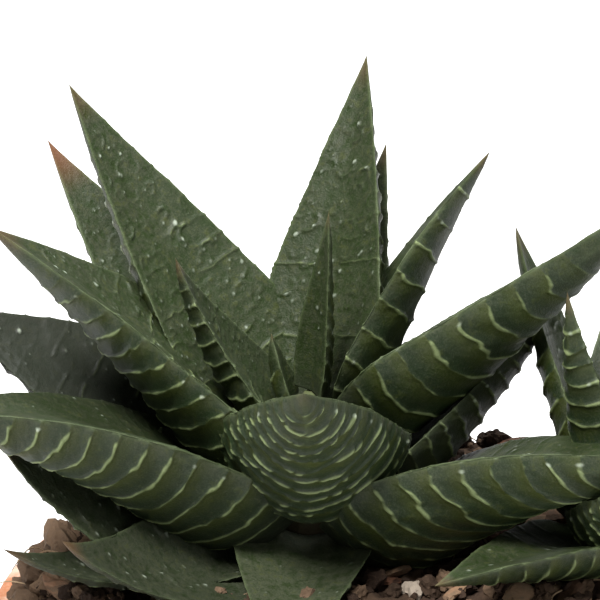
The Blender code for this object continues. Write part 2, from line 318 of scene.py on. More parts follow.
@dataclass(frozen=True)
class LeafSkin:
    """Waxy dark green leaf skin with pale ridges, pale horny margins and rusty tips."""

    name: str = "ridged_leaf_skin"
    dark: Colour = (0.0085, 0.0220, 0.0035)
    olive: Colour = (0.0460, 0.0600, 0.0030)
    grey: Colour = (0.0400, 0.0450, 0.0270)
    aged: Colour = (0.0780, 0.0860, 0.0540)
    ridge: Colour = (0.2400, 0.2950, 0.1300)
    knob: Colour = (0.4600, 0.5200, 0.4200)
    margin: Colour = (0.0950, 0.1250, 0.0550)
    rust: Colour = (0.1600, 0.0600, 0.0280)
    painted_shade_colour: Colour = (0.0060, 0.0075, 0.0040)

    def build(self) -> bpy.types.Material:
        """Makes the material from the layers that each leaf is painted with."""
        sheet = NodeSheet(self.name)
        place = sheet.place()
        ridge, knob, edge, aged = sheet.layer("marks")
        along, upper, cell, rust = sheet.layer("zones")
        shade = sheet.layer("shading")[0]
        cloud = sheet.noise(place, 0.009, 4.0, 0.6)
        fleck = sheet.noise(place, 0.0016, 3.0, 0.65)
        grain = sheet.noise(place, 0.00032, 2.0, 0.7)
        # Dark green to olive across each cell between ridges: partly the skin's own mottling,
        # partly painted shade across the hollows between the ridges.
        flesh = sheet.mix(cell.ramp(0.25, 0.95) * (0.35 + 0.90 * cloud), self.dark, self.olive)
        # Grey over the upper face, in cloudy patches and towards the tip: partly the upper skin's
        # duller grey-green, partly painted sheen where the upper faces catch the light.
        grey_and_sheen_share = (upper * 0.50 + cloud.ramp(0.45, 0.70) * 0.40 + along.ramp(0.45, 0.95) * 0.30)
        flesh = sheet.mix(grey_and_sheen_share * fleck.ramp(0.30, 0.68), flesh, self.grey)
        flesh = sheet.mix(aged * fleck.ramp(0.25, 0.65) * (0.45 + cloud * 0.8), flesh, self.aged)
        flesh = sheet.mix(fleck.ramp(0.54, 0.68) * 0.45, flesh, self.olive)
        flesh = sheet.mix(grain.ramp(0.45, 0.72) * 0.38, flesh, self.aged)
        flesh = sheet.mix(grain.ramp(0.50, 0.28) * 0.50, flesh, self.dark)
        flesh = sheet.mix(edge * (0.25 + fleck * 0.60), flesh, self.margin)
        # Painted shade: the shading layer darkens leaves in shadow, their undersides and their
        # feet, and dims the pale ridges on the next line.
        flesh = sheet.mix(shade, flesh, self.painted_shade_colour)
        pale = ridge.ramp(0.25, 0.85) * (0.42 + fleck * 0.6 - shade * 0.45)
        flesh = sheet.mix(pale, flesh, self.ridge)
        # Pale knobs, plus the painted glints that the knob layer also carries.
        flesh = sheet.mix(knob.ramp(0.25, 0.95) * 0.70, flesh, self.knob)
        flesh = sheet.mix(rust * (0.6 + cloud * 0.5), flesh, self.rust)
        gloss = 0.42 + grain * 0.14 + fleck * 0.10 - knob * 0.14 + aged * 0.08 + shade * 0.30
        height = grain * 0.35 + fleck * 0.65
        return sheet.finish(
            Base_Color=flesh,
            Roughness=gloss,
            Specular_IOR_Level=0.30,
            Coat_Weight=0.06,
            Coat_Roughness=0.28,
            Normal=sheet.bump(height, 0.00030, 0.8),
        )


@dataclass(frozen=True)
class FiredClay:
    """Unglazed terracotta with damp patches and a chalky bloom."""

    name: str = "fired_clay"
    light: Colour = (0.500, 0.215, 0.110)
    deep: Colour = (0.330, 0.120, 0.058)
    bloom: Colour = (0.640, 0.500, 0.400)
    damp: Colour = (0.200, 0.085, 0.045)

    def build(self) -> bpy.types.Material:
        """Makes the material."""
        sheet = NodeSheet(self.name)
        place = sheet.place()
        parts = self.split(sheet, place)
        cloud = sheet.noise(place, 0.030, 4.0)
        patch = sheet.noise(place, 0.013, 5.0, 0.62)
        grain = sheet.noise(place, 0.0009, 3.0, 0.7)
        stretched = sheet.node(
            "ShaderNodeMapping", {}, {"Vector": place, "Scale": (1.0, 1.0, 14.0)}
        )
        wheel = sheet.noise(stretched, 0.030, 3.0)
        clay = sheet.mix(cloud.ramp(0.35, 0.68), self.light, self.deep)
        clay = sheet.mix(wheel.ramp(0.40, 0.70) * 0.35, clay, self.deep)
        clay = sheet.mix(grain.ramp(0.45, 0.75) * 0.30, clay, self.bloom)
        low = parts[2].ramp(0.040, 0.004)
        high = parts[2].ramp(0.086, 0.112)
        chalk = patch.ramp(0.47, 0.66) * (0.22 + 0.55 * high + 0.30 * low)
        clay = sheet.mix(low * cloud.ramp(0.30, 0.60) * 0.55, clay, self.damp)
        clay = sheet.mix(chalk, clay, self.bloom)
        height = grain * 0.55 + wheel * 0.45
        return sheet.finish(
            Base_Color=clay,
            Roughness=0.78 + grain * 0.16,
            Specular_IOR_Level=0.30,
            Normal=sheet.bump(height, 0.00030, 0.7),
        )

    @staticmethod
    def split(sheet: NodeSheet, place: Flow) -> List[Flow]:
        """The three coordinates as separate numbers."""
        parts = sheet.node("ShaderNodeSeparateXYZ", {}, {0: place})
        node = parts.socket.node
        return [Flow(sheet, node.outputs[i]) for i in range(3)]


@dataclass(frozen=True)
class Earth:
    """Crumbly potting soil, from near-black humus to tan lumps of clay."""

    name: str = "crumbly_earth"
    humus: Colour = (0.018, 0.010, 0.007)
    brown: Colour = (0.066, 0.040, 0.026)
    tan: Colour = (0.200, 0.130, 0.082)
    pale: Colour = (0.420, 0.350, 0.280)

    def build(self) -> bpy.types.Material:
        """Makes the material; the layer named tint holds each crumb's own shade."""
        sheet = NodeSheet(self.name)
        place = sheet.place()
        shade, tan, pale, _ = sheet.layer("tint")
        cloud = sheet.noise(place, 0.006, 4.0, 0.6)
        fleck = sheet.noise(place, 0.0011, 4.0, 0.7)
        soil = sheet.mix(shade * 0.7 + cloud * 0.5 - 0.1, self.humus, self.brown)
        soil = sheet.mix(tan * (0.6 + fleck * 0.6), soil, self.tan)
        soil = sheet.mix(pale, soil, self.pale)
        soil = sheet.mix(fleck.ramp(0.58, 0.74) * 0.45, soil, self.tan)
        soil = sheet.mix(fleck.ramp(0.42, 0.28) * 0.70, soil, self.humus)
        return sheet.finish(
            Base_Color=soil,
            Roughness=0.84 + fleck * 0.14,
            Specular_IOR_Level=0.22,
            Normal=sheet.bump(fleck * 0.6 + cloud * 0.4, 0.00060, 0.9),
        )


@dataclass(frozen=True)
class Bark:
    """Chips of bark and thin roots in the soil."""

    name: str = "bark_and_fibre"
    dark: Colour = (0.045, 0.022, 0.014)
    red: Colour = (0.190, 0.085, 0.048)
    straw: Colour = (0.460, 0.330, 0.200)

    def build(self) -> bpy.types.Material:
        """Makes the material; the layer named tint holds each chip's own shade."""
        sheet = NodeSheet(self.name)
        place = sheet.place()
        shade, straw, _, _ = sheet.layer("tint")
        layers = sheet.node("ShaderNodeMapping", {}, {"Vector": place, "Scale": (1.0, 1.0, 4.0)})
        bands = sheet.noise(layers, 0.0022, 3.0, 0.6)
        fleck = sheet.noise(place, 0.0007, 3.0, 0.6)
        wood = sheet.mix(bands.ramp(0.35, 0.65) * (0.3 + shade * 0.7), self.dark, self.red)
        wood = sheet.mix(straw, wood, self.straw)
        wood = sheet.mix(fleck.ramp(0.60, 0.75) * 0.3, wood, self.straw)
        return sheet.finish(
            Base_Color=wood,
            Roughness=0.72 + fleck * 0.2,
            Specular_IOR_Level=0.30,
            Normal=sheet.bump(bands * 0.6 + fleck * 0.4, 0.00040, 0.8),
        )


@dataclass(frozen=True)
class StemSkin:
    """The short stem between the leaves: corky at the soil, green above."""

    name: str = "stem_skin"
    cork: Colour = (0.120, 0.080, 0.048)
    green: Colour = (0.085, 0.115, 0.040)

    def build(self) -> bpy.types.Material:
        """Makes the material."""
        sheet = NodeSheet(self.name)
        place = sheet.place()
        parts = FiredClay.split(sheet, place)
        cloud = sheet.noise(place, 0.004, 3.0)
        grain = sheet.noise(place, 0.0008, 3.0, 0.6)
        skin = sheet.mix(parts[2].ramp(0.128, 0.142) * 0.8 + cloud * 0.2, self.cork, self.green)
        skin = sheet.mix(grain.ramp(0.45, 0.70) * 0.4, skin, self.cork)
        return sheet.finish(
            Base_Color=skin,
            Roughness=0.62 + grain * 0.2,
            Normal=sheet.bump(grain, 0.00030, 0.8),
        )


@dataclass(frozen=True)
class Backdrop:
    """The plain pale floor."""

    name: str = "pale_floor"
    colour: Colour = (0.86, 0.86, 0.855)
    glow: float = 0.42

    def build(self) -> bpy.types.Material:
        """Makes the material: matt, with a little light of its own so that it stays even."""
        sheet = NodeSheet(self.name)
        cloud = sheet.noise(sheet.place(), 0.35, 2.0)
        tone = sheet.mix(cloud * 0.06, self.colour, (0.80, 0.80, 0.80))
        return sheet.finish(
            Base_Color=tone,
            Roughness=0.9,
            Specular_IOR_Level=0.1,
            Emission_Color=(1.0, 1.0, 1.0),
            Emission_Strength=self.glow,
        )


# ---------------------------------------------------------------------------------------------
# Mesh work that several pieces share


def choose_none() -> None:
    """Deselects every object."""
    if bpy.context.mode != "OBJECT":
        bpy.ops.object.mode_set(mode="OBJECT")
    bpy.ops.object.select_all(action="DESELECT")


def choose(obj: bpy.types.Object) -> None:
    """Makes one object the active and only selected one."""
    choose_none()
    obj.select_set(True)
    bpy.context.view_layer.objects.active = obj


def points_of(obj: bpy.types.Object) -> np.ndarray:
    """The object's points, as rows of x, y, z."""
    points = np.empty(len(obj.data.vertices) * 3, np.float64)
    obj.data.vertices.foreach_get("co", points)
    return points.reshape(-1, 3)


def move_points(obj: bpy.types.Object, points: np.ndarray) -> None:
    """Gives the object's mesh new places for its points."""
    obj.data.vertices.foreach_set("co", np.ascontiguousarray(points, np.float64).ravel())
    obj.data.update()


def paint(obj: bpy.types.Object, name: str, values: np.ndarray) -> None:
    """Adds a painted layer to a mesh.

    Args:
        obj: The object.
        name: The layer's name.
        values: Four numbers for each point.
    """
    layer = obj.data.color_attributes.new(name, "FLOAT_COLOR", "POINT")
    layer.data.foreach_set("color", np.ascontiguousarray(values, np.float32).ravel())


def close_up(obj: bpy.types.Object, distance: float) -> None:
    """Welds an object's seams, closes what is open and turns its faces outwards.

    Args:
        obj: The object.
        distance: How close two points are to be welded.
    """
    choose(obj)
    bpy.ops.object.mode_set(mode="EDIT")
    bpy.ops.mesh.select_mode(type="VERT")
    bpy.ops.mesh.select_all(action="SELECT")
    bpy.ops.mesh.remove_doubles(threshold=distance)
    bpy.ops.mesh.select_all(action="DESELECT")
    bpy.ops.mesh.select_non_manifold(
        extend=False, use_wire=False, use_boundary=True, use_multi_face=False,
        use_non_contiguous=False, use_verts=False,
    )
    bpy.ops.mesh.fill_holes(sides=0)
    bpy.ops.mesh.select_all(action="SELECT")
    bpy.ops.mesh.normals_make_consistent(inside=False)
    bpy.ops.object.mode_set(mode="OBJECT")


def dress(
    obj: bpy.types.Object,
    name: str,
    material: bpy.types.Material,
    replaced: Sequence[str] = (),
) -> None:
    """Names a finished piece, gives it its material and ties it to the frame.

    Args:
        obj: The piece.
        name: Its name.
        material: Its material.
        replaced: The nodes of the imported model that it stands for.
    """
    obj.name = name
    obj.data.name = name
    obj.data.materials.clear()
    obj.data.materials.append(material)
    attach(obj, BODY)
    if replaced:
        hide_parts(*replaced)
    LOG.info("%s: %d faces", name, len(obj.data.polygons))


def lathe(name: str, profile: Pairs, segments: int) -> bpy.types.Object:
    """Raises a closed round piece ring by ring from its centre.

    Args:
        name: The object's name.
        profile: (radius, height) of each ring; the first and last close the piece.
        segments: Points in each ring.

    Returns:
        The object, whose ends are closed.
    """
    choose_none()
    radius, height = profile[0]
    bpy.ops.mesh.primitive_circle_add(
        vertices=segments, radius=radius, fill_type="TRIFAN", location=(0.0, 0.0, 0.0)
    )
    made = bpy.context.object
    made.name = name
    move_points(made, points_of(made) + np.array([0.0, 0.0, height]))
    bpy.ops.object.mode_set(mode="EDIT")
    bpy.ops.mesh.select_mode(type="EDGE")
    bpy.ops.mesh.select_all(action="DESELECT")
    bpy.ops.mesh.select_non_manifold(use_wire=False, use_multi_face=False, use_verts=False)
    for (old, low), (new, high) in zip(profile, profile[1:]):
        bpy.ops.mesh.extrude_edges_move(TRANSFORM_OT_translate={"value": (0.0, 0.0, high - low)})
        bpy.ops.transform.resize(
            value=(new / old, new / old, 1.0), center_override=(0.0, 0.0, high)
        )
    bpy.ops.mesh.edge_face_add()
    bpy.ops.mesh.poke()
    bpy.ops.mesh.select_all(action="SELECT")
    bpy.ops.mesh.normals_make_consistent(inside=False)
    bpy.ops.object.mode_set(mode="OBJECT")
    return made


# ---------------------------------------------------------------------------------------------
# Leaves


@dataclass(frozen=True)
class Skin:
    """How strongly each kind of relief shows on one leaf.

    pitch is the spacing of the cross ridges at the foot in millimetres, and shrink how much of
    it is lost by the tip. They run from start to reach, as shares of the length, with a height
    in millimetres. From keel, a place across the leaf from -1 to 1, they sweep back by sweep
    millimetres, in a curve of power bow. beads breaks them up, and upper is how strongly they
    cross the upper face. knobs and rings are how crowded those are, teeth is how far the margin
    stands out, and aged and rust colour the skin. shade darkens the whole leaf: painted shade
    for leaves that lie in shadow, partly also the duller skin of old low leaves. grain is the
    mesh's own grid, in millimetres.
    """

    pitch: float = 4.4
    shrink: float = 0.22
    reach: float = 0.80
    height: float = 0.32
    sweep: float = 6.5
    bow: float = 2.0
    beads: float = 0.25
    rings: float = 0.0
    start: float = 0.02
    upper: float = 0.50
    knobs: float = 0.45
    teeth: float = 0.14
    aged: float = 0.0
    shade: float = 0.0
    rust: float = 0.35
    keel: float = 0.18
    grain: float = 0.42


@dataclass(frozen=True)
class Leaf:
    """One leaf: where its foot sits, how it bends, its size in millimetres and its skin.

    The angles are degrees: azimuth, rise at the foot and at the tip, and roll. bend is under 1
    where the leaf bends early, and clasp is how wide the foot is as a share of the full width.
    """

    node: str
    up: float
    azimuth: float
    rise: float
    rise_tip: float
    bend: float
    length: float
    width: float
    thick: float
    roll: float
    clasp: float
    skin: Skin = Skin()


@dataclass(frozen=True)
class Stem:
    """The short stem that a rosette's leaves grow from."""

    node: str
    x: float
    y: float
    radius: float
    height: float

    def radius_at(self, up: float) -> float:
        """Its radius at a height above the soil."""
        share = max(0.0, min(1.0, up / self.height))
        return self.radius * (1.0 - 0.80 * share**1.6)


@dataclass(frozen=True)
class Grid:
    """Where each point of a leaf's wrapped grid lies.

    t is the share of the way to the tip, and x and y are the place round the section. edge_far
    is how far the nearer margin is, run and reach are the distances round and along the leaf,
    and upper is 1 on the upper face and 0 on the underside.
    """

    t: np.ndarray
    x: np.ndarray
    y: np.ndarray
    edge_far: np.ndarray
    run: np.ndarray
    reach: np.ndarray
    upper: np.ndarray

    @property
    def under(self) -> np.ndarray:
        """1 on the underside and 0 on the upper face."""
        return 1.0 - self.upper


@dataclass(frozen=True)
class Bars:
    """The cross ridges: which one is nearest to each point, and how strongly it shows there.

    away is how far its middle is, cell is the share of the way from one ridge to the next, and
    fade is 0 where the leaf has none. under and upper are its strength on the two faces.
    """

    index: np.ndarray
    away: np.ndarray
    cell: np.ndarray
    fade: np.ndarray
    under: np.ndarray
    upper: np.ndarray


@dataclass
class LeafBuilder:
    """Grows one leaf's mesh: a fine grid wrapped round the leaf's own section, with its relief."""

    leaf: Leaf
    stem: Stem
    seed: int
    soil_top: float = 0.128
    clearance: float = 0.0003
    channel_share: float = 0.30
    shorten: float = 0.006
    rows: int = field(init=False)
    columns: int = field(init=False)

    def __post_init__(self) -> None:
        """Sets the number of rows along the leaf and of columns round it."""
        grain = self.leaf.skin.grain
        self.rows = int(self.leaf.length / (grain * 0.72))
        self.columns = int(self.leaf.width * 2.5 / (grain * 1.6) / 4) * 4

    def width_share(self, along: np.ndarray) -> np.ndarray:
        """Share of the full width at a place along the leaf, 0 at the foot and 1 at the tip."""
        clasp = self.leaf.clasp
        opened = clasp + (1.0 - clasp) * np.sin(math.pi / 2 * np.minimum(1.0, along / 0.20))
        return opened * (1.0 - along) ** 1.12 * (1.0 + 0.70 * along)

    def lay_out(self, along: np.ndarray) -> Dict[str, np.ndarray]:
        """Places the leaf's middle line and section at each row.

        Args:
            along: Share of the way to the tip, for each row.

        Returns:
            Arrays by name: middle, across, above, half, thick and channel.
        """
        leaf = self.leaf
        azimuth = math.radians(leaf.azimuth)
        rise = np.radians(leaf.rise + (leaf.rise_tip - leaf.rise) * along**leaf.bend)
        aim = np.stack(
            [np.cos(rise) * math.cos(azimuth), np.cos(rise) * math.sin(azimuth), np.sin(rise)], 1
        )
        side = np.array([-math.sin(azimuth), math.cos(azimuth), 0.0])
        half_full = leaf.width * MM / 2
        foot = self.channel_share * half_full * leaf.clasp + 0.12 * leaf.thick * MM
        radius = self.stem.radius_at(leaf.up * MM) + self.clearance
        radius += foot * max(0.0, math.sin(rise[0]))
        if leaf.up * MM > self.stem.height:
            radius = 0.0
        start = np.array(
            [
                self.stem.x + radius * math.cos(azimuth),
                self.stem.y + radius * math.sin(azimuth),
                self.soil_top + leaf.up * MM,
            ]
        )
        length = leaf.length * MM * (1.0 - self.shorten)
        steps = (aim[1:] + aim[:-1]) / 2 * (np.diff(along) * length)[:, None]
        middle = start + np.concatenate([np.zeros((1, 3)), np.cumsum(steps, 0)])
        up = np.cross(aim, side)
        up *= np.where(up[:, 2:] < 0, -1.0, 1.0)
        roll = math.radians(leaf.roll)
        half = half_full * self.width_share(along)
        fullness = np.minimum(1.0, half / half_full / 0.85) ** 0.75
        return {
            "middle": middle,
            "across": side * math.cos(roll) + up * math.sin(roll),
            "above": up * math.cos(roll) - side * math.sin(roll),
            "half": half,
            "thick": np.minimum(leaf.thick * MM * fullness, half * 1.1),
            "channel": self.channel_share * half * (1.0 - 0.35 * along),
        }

    @staticmethod
    def outward(points: np.ndarray, middle: np.ndarray) -> np.ndarray:
        """Unit normals of the wrapped grid, pointing away from the leaf's middle line."""
        round_it = np.roll(points, -1, 1) - np.roll(points, 1, 1)
        along_it = np.gradient(points, axis=0)
        normal = np.cross(round_it, along_it)
        size = np.linalg.norm(normal, axis=2, keepdims=True)
        normal = normal / np.maximum(size, 1e-15)
        facing = (normal * (points - middle[:, None])).sum(2).sum()
        return normal if facing > 0 else -normal

    @staticmethod
    def lateral(points: np.ndarray) -> Tuple[np.ndarray, np.ndarray]:
        """Distances round the leaf.

        Args:
            points: The wrapped grid's points, whose first column is on a margin.

        Returns:
            The distance to the nearer margin, and the distance round from the first margin.
        """
        gaps = np.linalg.norm(np.roll(points, -1, 1) - points, axis=2)
        reached = np.concatenate([np.zeros((len(points), 1)), np.cumsum(gaps, 1)], 1)
        total, run = reached[:, -1:], reached[:, :-1]
        other = run[:, run.shape[1] // 2][:, None]
        nearest = np.minimum(np.minimum(run, total - run), np.abs(run - other))
        return nearest, run

    def knob_field(
        self,
        run: np.ndarray,
        reach: np.ndarray,
        size: float,
        share: float,
        seed: int,
        ring: bool = False,
    ) -> np.ndarray:
        """Round knobs, or the raised crescents of broken rings, scattered over the skin.

        Args:
            run: Distance round the leaf, for each point.
            reach: Distance along the leaf, for each point.
            size: How far apart they are at the most crowded.
            share: Share of the places that hold one.
            seed: Picks the scatter.
            ring: Makes crescents in place of knobs.

        Returns:
            A number from 0 to 1 for each point, 1 on top.
        """
        column, row = np.floor(run / size), np.floor(reach / size)
        found = np.zeros_like(run)
        for across in (-1, 0, 1):
            for along in (-1, 0, 1):
                c, r = column + across, row + along
                x = run - (c + 0.15 + 0.7 * lattice(c, r, seed)) * size
                y = reach - (r + 0.15 + 0.7 * lattice(c, r, seed + 1)) * size
                there = lattice(c, r, seed + 2) < share
                bright = 0.30 + 0.70 * lattice(c, r, seed + 4) ** 2
                if ring:
                    radius = size * (0.20 + 0.14 * lattice(c, r, seed + 3))
                    away = np.hypot(x, y) / radius
                    open_side = np.cos(np.arctan2(y, x) - math.tau * lattice(c, r, seed + 5))
                    shape = np.exp(-(((away - 1.0) * radius / (0.30 * MM)) ** 2))
                    shape = shape * step(open_side, -0.35, 0.25)
                else:
                    radius = (0.26 + 0.36 * lattice(c, r, seed + 3)) * MM
                    shape = np.exp(-(x**2 + y**2) / radius**2)
                found = np.maximum(found, np.where(there, shape * bright, 0.0))
        return found

    def lay_grid(self, along: np.ndarray, angle: np.ndarray, points: np.ndarray) -> Grid:
        """Finds where each point of the wrapped grid lies on the leaf.

        Args:
            along: Share of the way to the tip, for each row.
            angle: Angle round the section, for each column.
            points: The plain surface.

        Returns:
            The grid.
        """
        edge_far, run = self.lateral(points)
        t = np.repeat(along[:, None], len(angle), 1)
        x = np.repeat(np.cos(angle)[None], len(along), 0)
        y = np.repeat(np.sin(angle)[None], len(along), 0)
        return Grid(t, x, y, edge_far, run, t * self.leaf.length * MM, step(y, -0.02, 0.10))

    def lay_bars(self, grid: Grid) -> Bars:
        """Lays the cross ridges, swept back from the keel and broken here and there.

        Args:
            grid: Where the points lie.

        Returns:
            The ridges.
        """
        leaf, skin, seed = self.leaf, self.leaf.skin, self.seed
        t, run, reach = grid.t, grid.run, grid.reach
        sway = soft_noise(run / (5 * MM), reach / (9 * MM), seed) - 0.5
        fine = soft_noise(run / (1.7 * MM), reach / (3 * MM), seed + 5) - 0.5
        side = np.abs(grid.x - skin.keel) / (1.0 + abs(skin.keel))
        swept = skin.sweep * MM * np.clip(1.12 - t, 0.0, 1.0) * grid.under
        place = reach + (1.0 - side**skin.bow) * swept + sway * 1.3 * MM + fine * 0.6 * MM
        share = np.clip(place / (leaf.length * MM), 0.0, 0.98)
        left = 1.0 - skin.shrink * share
        count = -leaf.length / (skin.pitch * skin.shrink) * np.log(left)
        index = np.round(count)
        away = (count - index) * skin.pitch * MM * left
        broken = soft_noise(run / (2.6 * MM), index * 3.7, seed + 9)
        beaded = soft_noise(run / (0.95 * MM), index * 2.9, seed + 10)
        long_break = soft_noise(run / (6.5 * MM), index * 5.3, seed + 11)
        fade = step(t, skin.start, skin.start + 0.05)
        fade = fade * step(t, skin.reach + 0.12, skin.reach - 0.14)
        inward = np.maximum(step(grid.edge_far, 0.5 * MM, 2.2 * MM), min(1.0, skin.teeth * 2.2))
        bar = np.exp(-((away / (RIDGE_BREADTH * (0.80 + 0.45 * broken))) ** 2))
        strength = 0.45 + 0.55 * step(broken, 0.10, 0.60)
        strength = strength * (1.0 - skin.beads * step(beaded, 0.62, 0.30))
        patchy = step(long_break, 0.38, 0.60) * step(t, 0.92, 0.30)
        return Bars(
            index=index,
            away=away,
            cell=count - np.floor(count),
            fade=fade,
            under=bar * grid.under * fade * inward * strength,
            upper=bar * grid.upper * patchy * skin.upper * step(np.abs(grid.x), 0.02, 0.12),
        )

    def scatter(self, grid: Grid) -> Tuple[np.ndarray, np.ndarray]:
        """Scatters the knobs and the broken rings.

        Args:
            grid: Where the points lie.

        Returns:
            How strongly a knob and a ring show at each point.
        """
        skin, seed, t, run, reach = self.leaf.skin, self.seed, grid.t, grid.run, grid.reach
        spread = step(t, 0.05, 0.30) * step(t, 0.99, 0.86)
        knob = self.knob_field(run, reach, 3.2 * MM, skin.knobs * 0.62, seed + 20)
        small = self.knob_field(run, reach, 1.8 * MM, skin.knobs * 0.45, seed + 30) * 0.8
        covered = grid.upper + 0.35 * grid.under * step(t, 0.45, 0.75)
        knob = np.maximum(knob, small) * spread * covered
        knob = knob * step(grid.edge_far, 0.6 * MM, 1.6 * MM)
        ring = self.knob_field(run, reach, 5.0 * MM, skin.rings, seed + 70, ring=True)
        ring = ring * grid.upper * spread * step(grid.edge_far, 1.0 * MM, 2.5 * MM)
        return knob, ring

    def relief(
        self, along: np.ndarray, angle: np.ndarray, points: np.ndarray
    ) -> Dict[str, np.ndarray]:
        """The relief and the painted marks at each point of the wrapped grid.

        Args:
            along: Share of the way to the tip, for each row.
            angle: Angle round the section, for each column.
            points: The plain surface.

        Returns:
            Arrays by name: height, tooth, ridge, knob, edge, film, upper and cell.
        """
        skin, seed = self.leaf.skin, self.seed
        grid = self.lay_grid(along, angle, points)
        bars = self.lay_bars(grid)
        knob, ring = self.scatter(grid)
        t, x, edge_far, run, reach = grid.t, grid.x, grid.edge_far, grid.run, grid.reach
        under, fade = grid.under, bars.fade
        # Painted glints: bright specks where the ridges end near the margin, carried in the knob
        # layer.
        glint = hump(edge_far - 1.7 * MM, 0.55 * MM) * hump(bars.away, 0.50 * MM)
        glint = glint * under * fade * step(lattice(bars.index, np.sign(x), seed + 60), 0.25, 1.0)
        bead = hump(edge_far - 0.5 * MM, 0.4 * MM) * hump(bars.away, 0.42 * MM)
        bead = bead * step(t, 0.97, 0.85) * skin.teeth
        half = self.leaf.width * MM / 2
        keel_far = np.abs(x - skin.keel) * half * np.maximum(0.05, 1.0 - t)
        keel = hump(keel_far, 0.45 * MM) * (grid.y < 0) * step(t, 0.62, 0.80)
        edge = hump(edge_far, 0.42 * MM)
        sway_film = step(soft_noise(run / (2 * MM), reach / (4 * MM), seed + 7), 0.25, 0.75)
        film = hump(edge_far, 2.4 * MM) * under * (0.35 + 0.65 * sway_film)
        dish = -0.22 * np.sin(math.pi * bars.cell) * under * fade
        swell = soft_noise(run / (4 * MM), reach / (6 * MM), seed + 40) - 0.5
        pores = soft_noise(run / (0.8 * MM), reach / (1.0 * MM), seed + 41) - 0.5
        height = skin.height * (bars.under + 0.9 * bars.upper) + 0.28 * knob + 0.40 * ring
        height = height + 0.30 * bead + 0.10 * glint + dish + 0.12 * keel
        height = height + (0.42 * swell + 0.07 * pores) * step(t, 1.0, 0.7)
        slim = np.minimum(1.0, (1.0 - t) * 5.0)
        tooth = np.exp(-np.abs(bars.away) / TOOTH_BREADTH) * np.exp(-edge_far / TOOTH_BREADTH)
        uneven = 0.45 + 0.75 * soft_noise(bars.index * 2.3, np.sign(x) * 3.1, seed + 50)
        tooth = tooth * uneven * skin.teeth * step(t, 0.99, 0.90) * step(t, 0.03, 0.12)
        ridge = bars.under + 0.7 * bars.upper + 0.35 * ring + 0.2 * keel
        return {
            "height": height * slim * MM,
            "tooth": tooth * slim * MM * np.sign(x),
            "ridge": np.clip(ridge, 0.0, 1.0),
            # The knob layer holds the knobs, the beads of the teeth, the ring crests and painted
            # glints.
            "knob": np.clip(knob * 0.9 + bead + glint * 0.8 + ring**3 * 0.4, 0.0, 1.0),
            "edge": np.clip(edge + 0.3 * keel, 0.0, 1.0),
            "film": np.clip(film, 0.0, 1.0),
            "upper": grid.upper,
            "cell": bars.cell * fade * under + (1.0 - fade * under) * 0.45,
        }

    def build(self) -> bpy.types.Object:
        """Grows the leaf.

        Returns:
            A closed mesh object, painted with the layers that the skin reads.
        """
        choose_none()
        bpy.ops.mesh.primitive_grid_add(
            x_subdivisions=self.columns, y_subdivisions=self.rows, size=1.0, calc_uvs=True
        )
        made = bpy.context.object
        flat = points_of(made)
        columns = int(round((flat[:, 1] == flat[0, 1]).sum()))
        flat = flat.reshape(-1, columns, 3)
        along = flat[:, 0, 1] + 0.5
        along = np.clip(along, 0.0, 1.0)
        angle = (flat[0, :-1, 0] + 0.5) * math.tau
        line = self.lay_out(along)
        x, y = np.cos(angle), np.sin(angle)
        thick, channel = line["thick"][:, None], line["channel"][:, None]
        rise = channel * np.abs(x) ** 1.5
        rise = rise + np.where(y >= 0, 0.12 * thick * y, -0.88 * thick * np.abs(y) ** 1.15)
        out = (x * line["half"][:, None])[..., None]
        points = line["middle"][:, None] + line["across"][:, None] * out
        points = points + line["above"][:, None] * rise[..., None]
        normal = self.outward(points, line["middle"])
        marks = self.relief(along, angle, points)
        points = points + normal * marks["height"][..., None]
        points = points + line["across"][:, None] * marks["tooth"][..., None]
        points[-1] = points[-1].mean(0)
        move_points(made, self.wrap(points).reshape(-1, 3))
        self.paint_marks(made, marks, along)
        close_up(made, 1e-7)
        made.data.shade_smooth()
        return made

    @staticmethod
    def wrap(values: np.ndarray) -> np.ndarray:
        """Repeats the first column after the last, where the grid meets itself."""
        return np.concatenate([values, values[:, :1]], 1)

    def paint_marks(
        self, made: bpy.types.Object, marks: Dict[str, np.ndarray], along: np.ndarray
    ) -> None:
        """Paints the layers that the leaf skin reads.

        Args:
            made: The leaf's object, before its seam is welded.
            marks: What relief() gives.
            along: Share of the way to the tip, for each row.
        """
        skin = self.leaf.skin
        t = np.repeat(along[:, None], marks["ridge"].shape[1], 1)
        aged = np.clip(skin.aged + 0.55 * marks["film"], 0.0, 1.0)
        rust = step(t, 0.90 - 0.08 * skin.rust, 0.985) * skin.rust
        first = np.stack([marks["ridge"], marks["knob"], marks["edge"], aged], 2)
        second = np.stack([t, marks["upper"], marks["cell"], rust], 2)
        paint(made, "marks", self.wrap(first).reshape(-1, 4))
        paint(made, "zones", self.wrap(second).reshape(-1, 4))
        # Painted shade: the skin's own shade, more on the underside and most at the foot near the
        # crown, where the leaves lie in shadow.
        shade = skin.shade + UNDERSIDE_SHADE * (1.0 - marks["upper"])
        shade = np.clip(shade + FOOT_SHADE * step(t, 0.14, 0.0), 0.0, 1.0)
        third = np.stack([shade, shade, shade, np.ones_like(shade)], 2)
        paint(made, "shading", self.wrap(third).reshape(-1, 4))


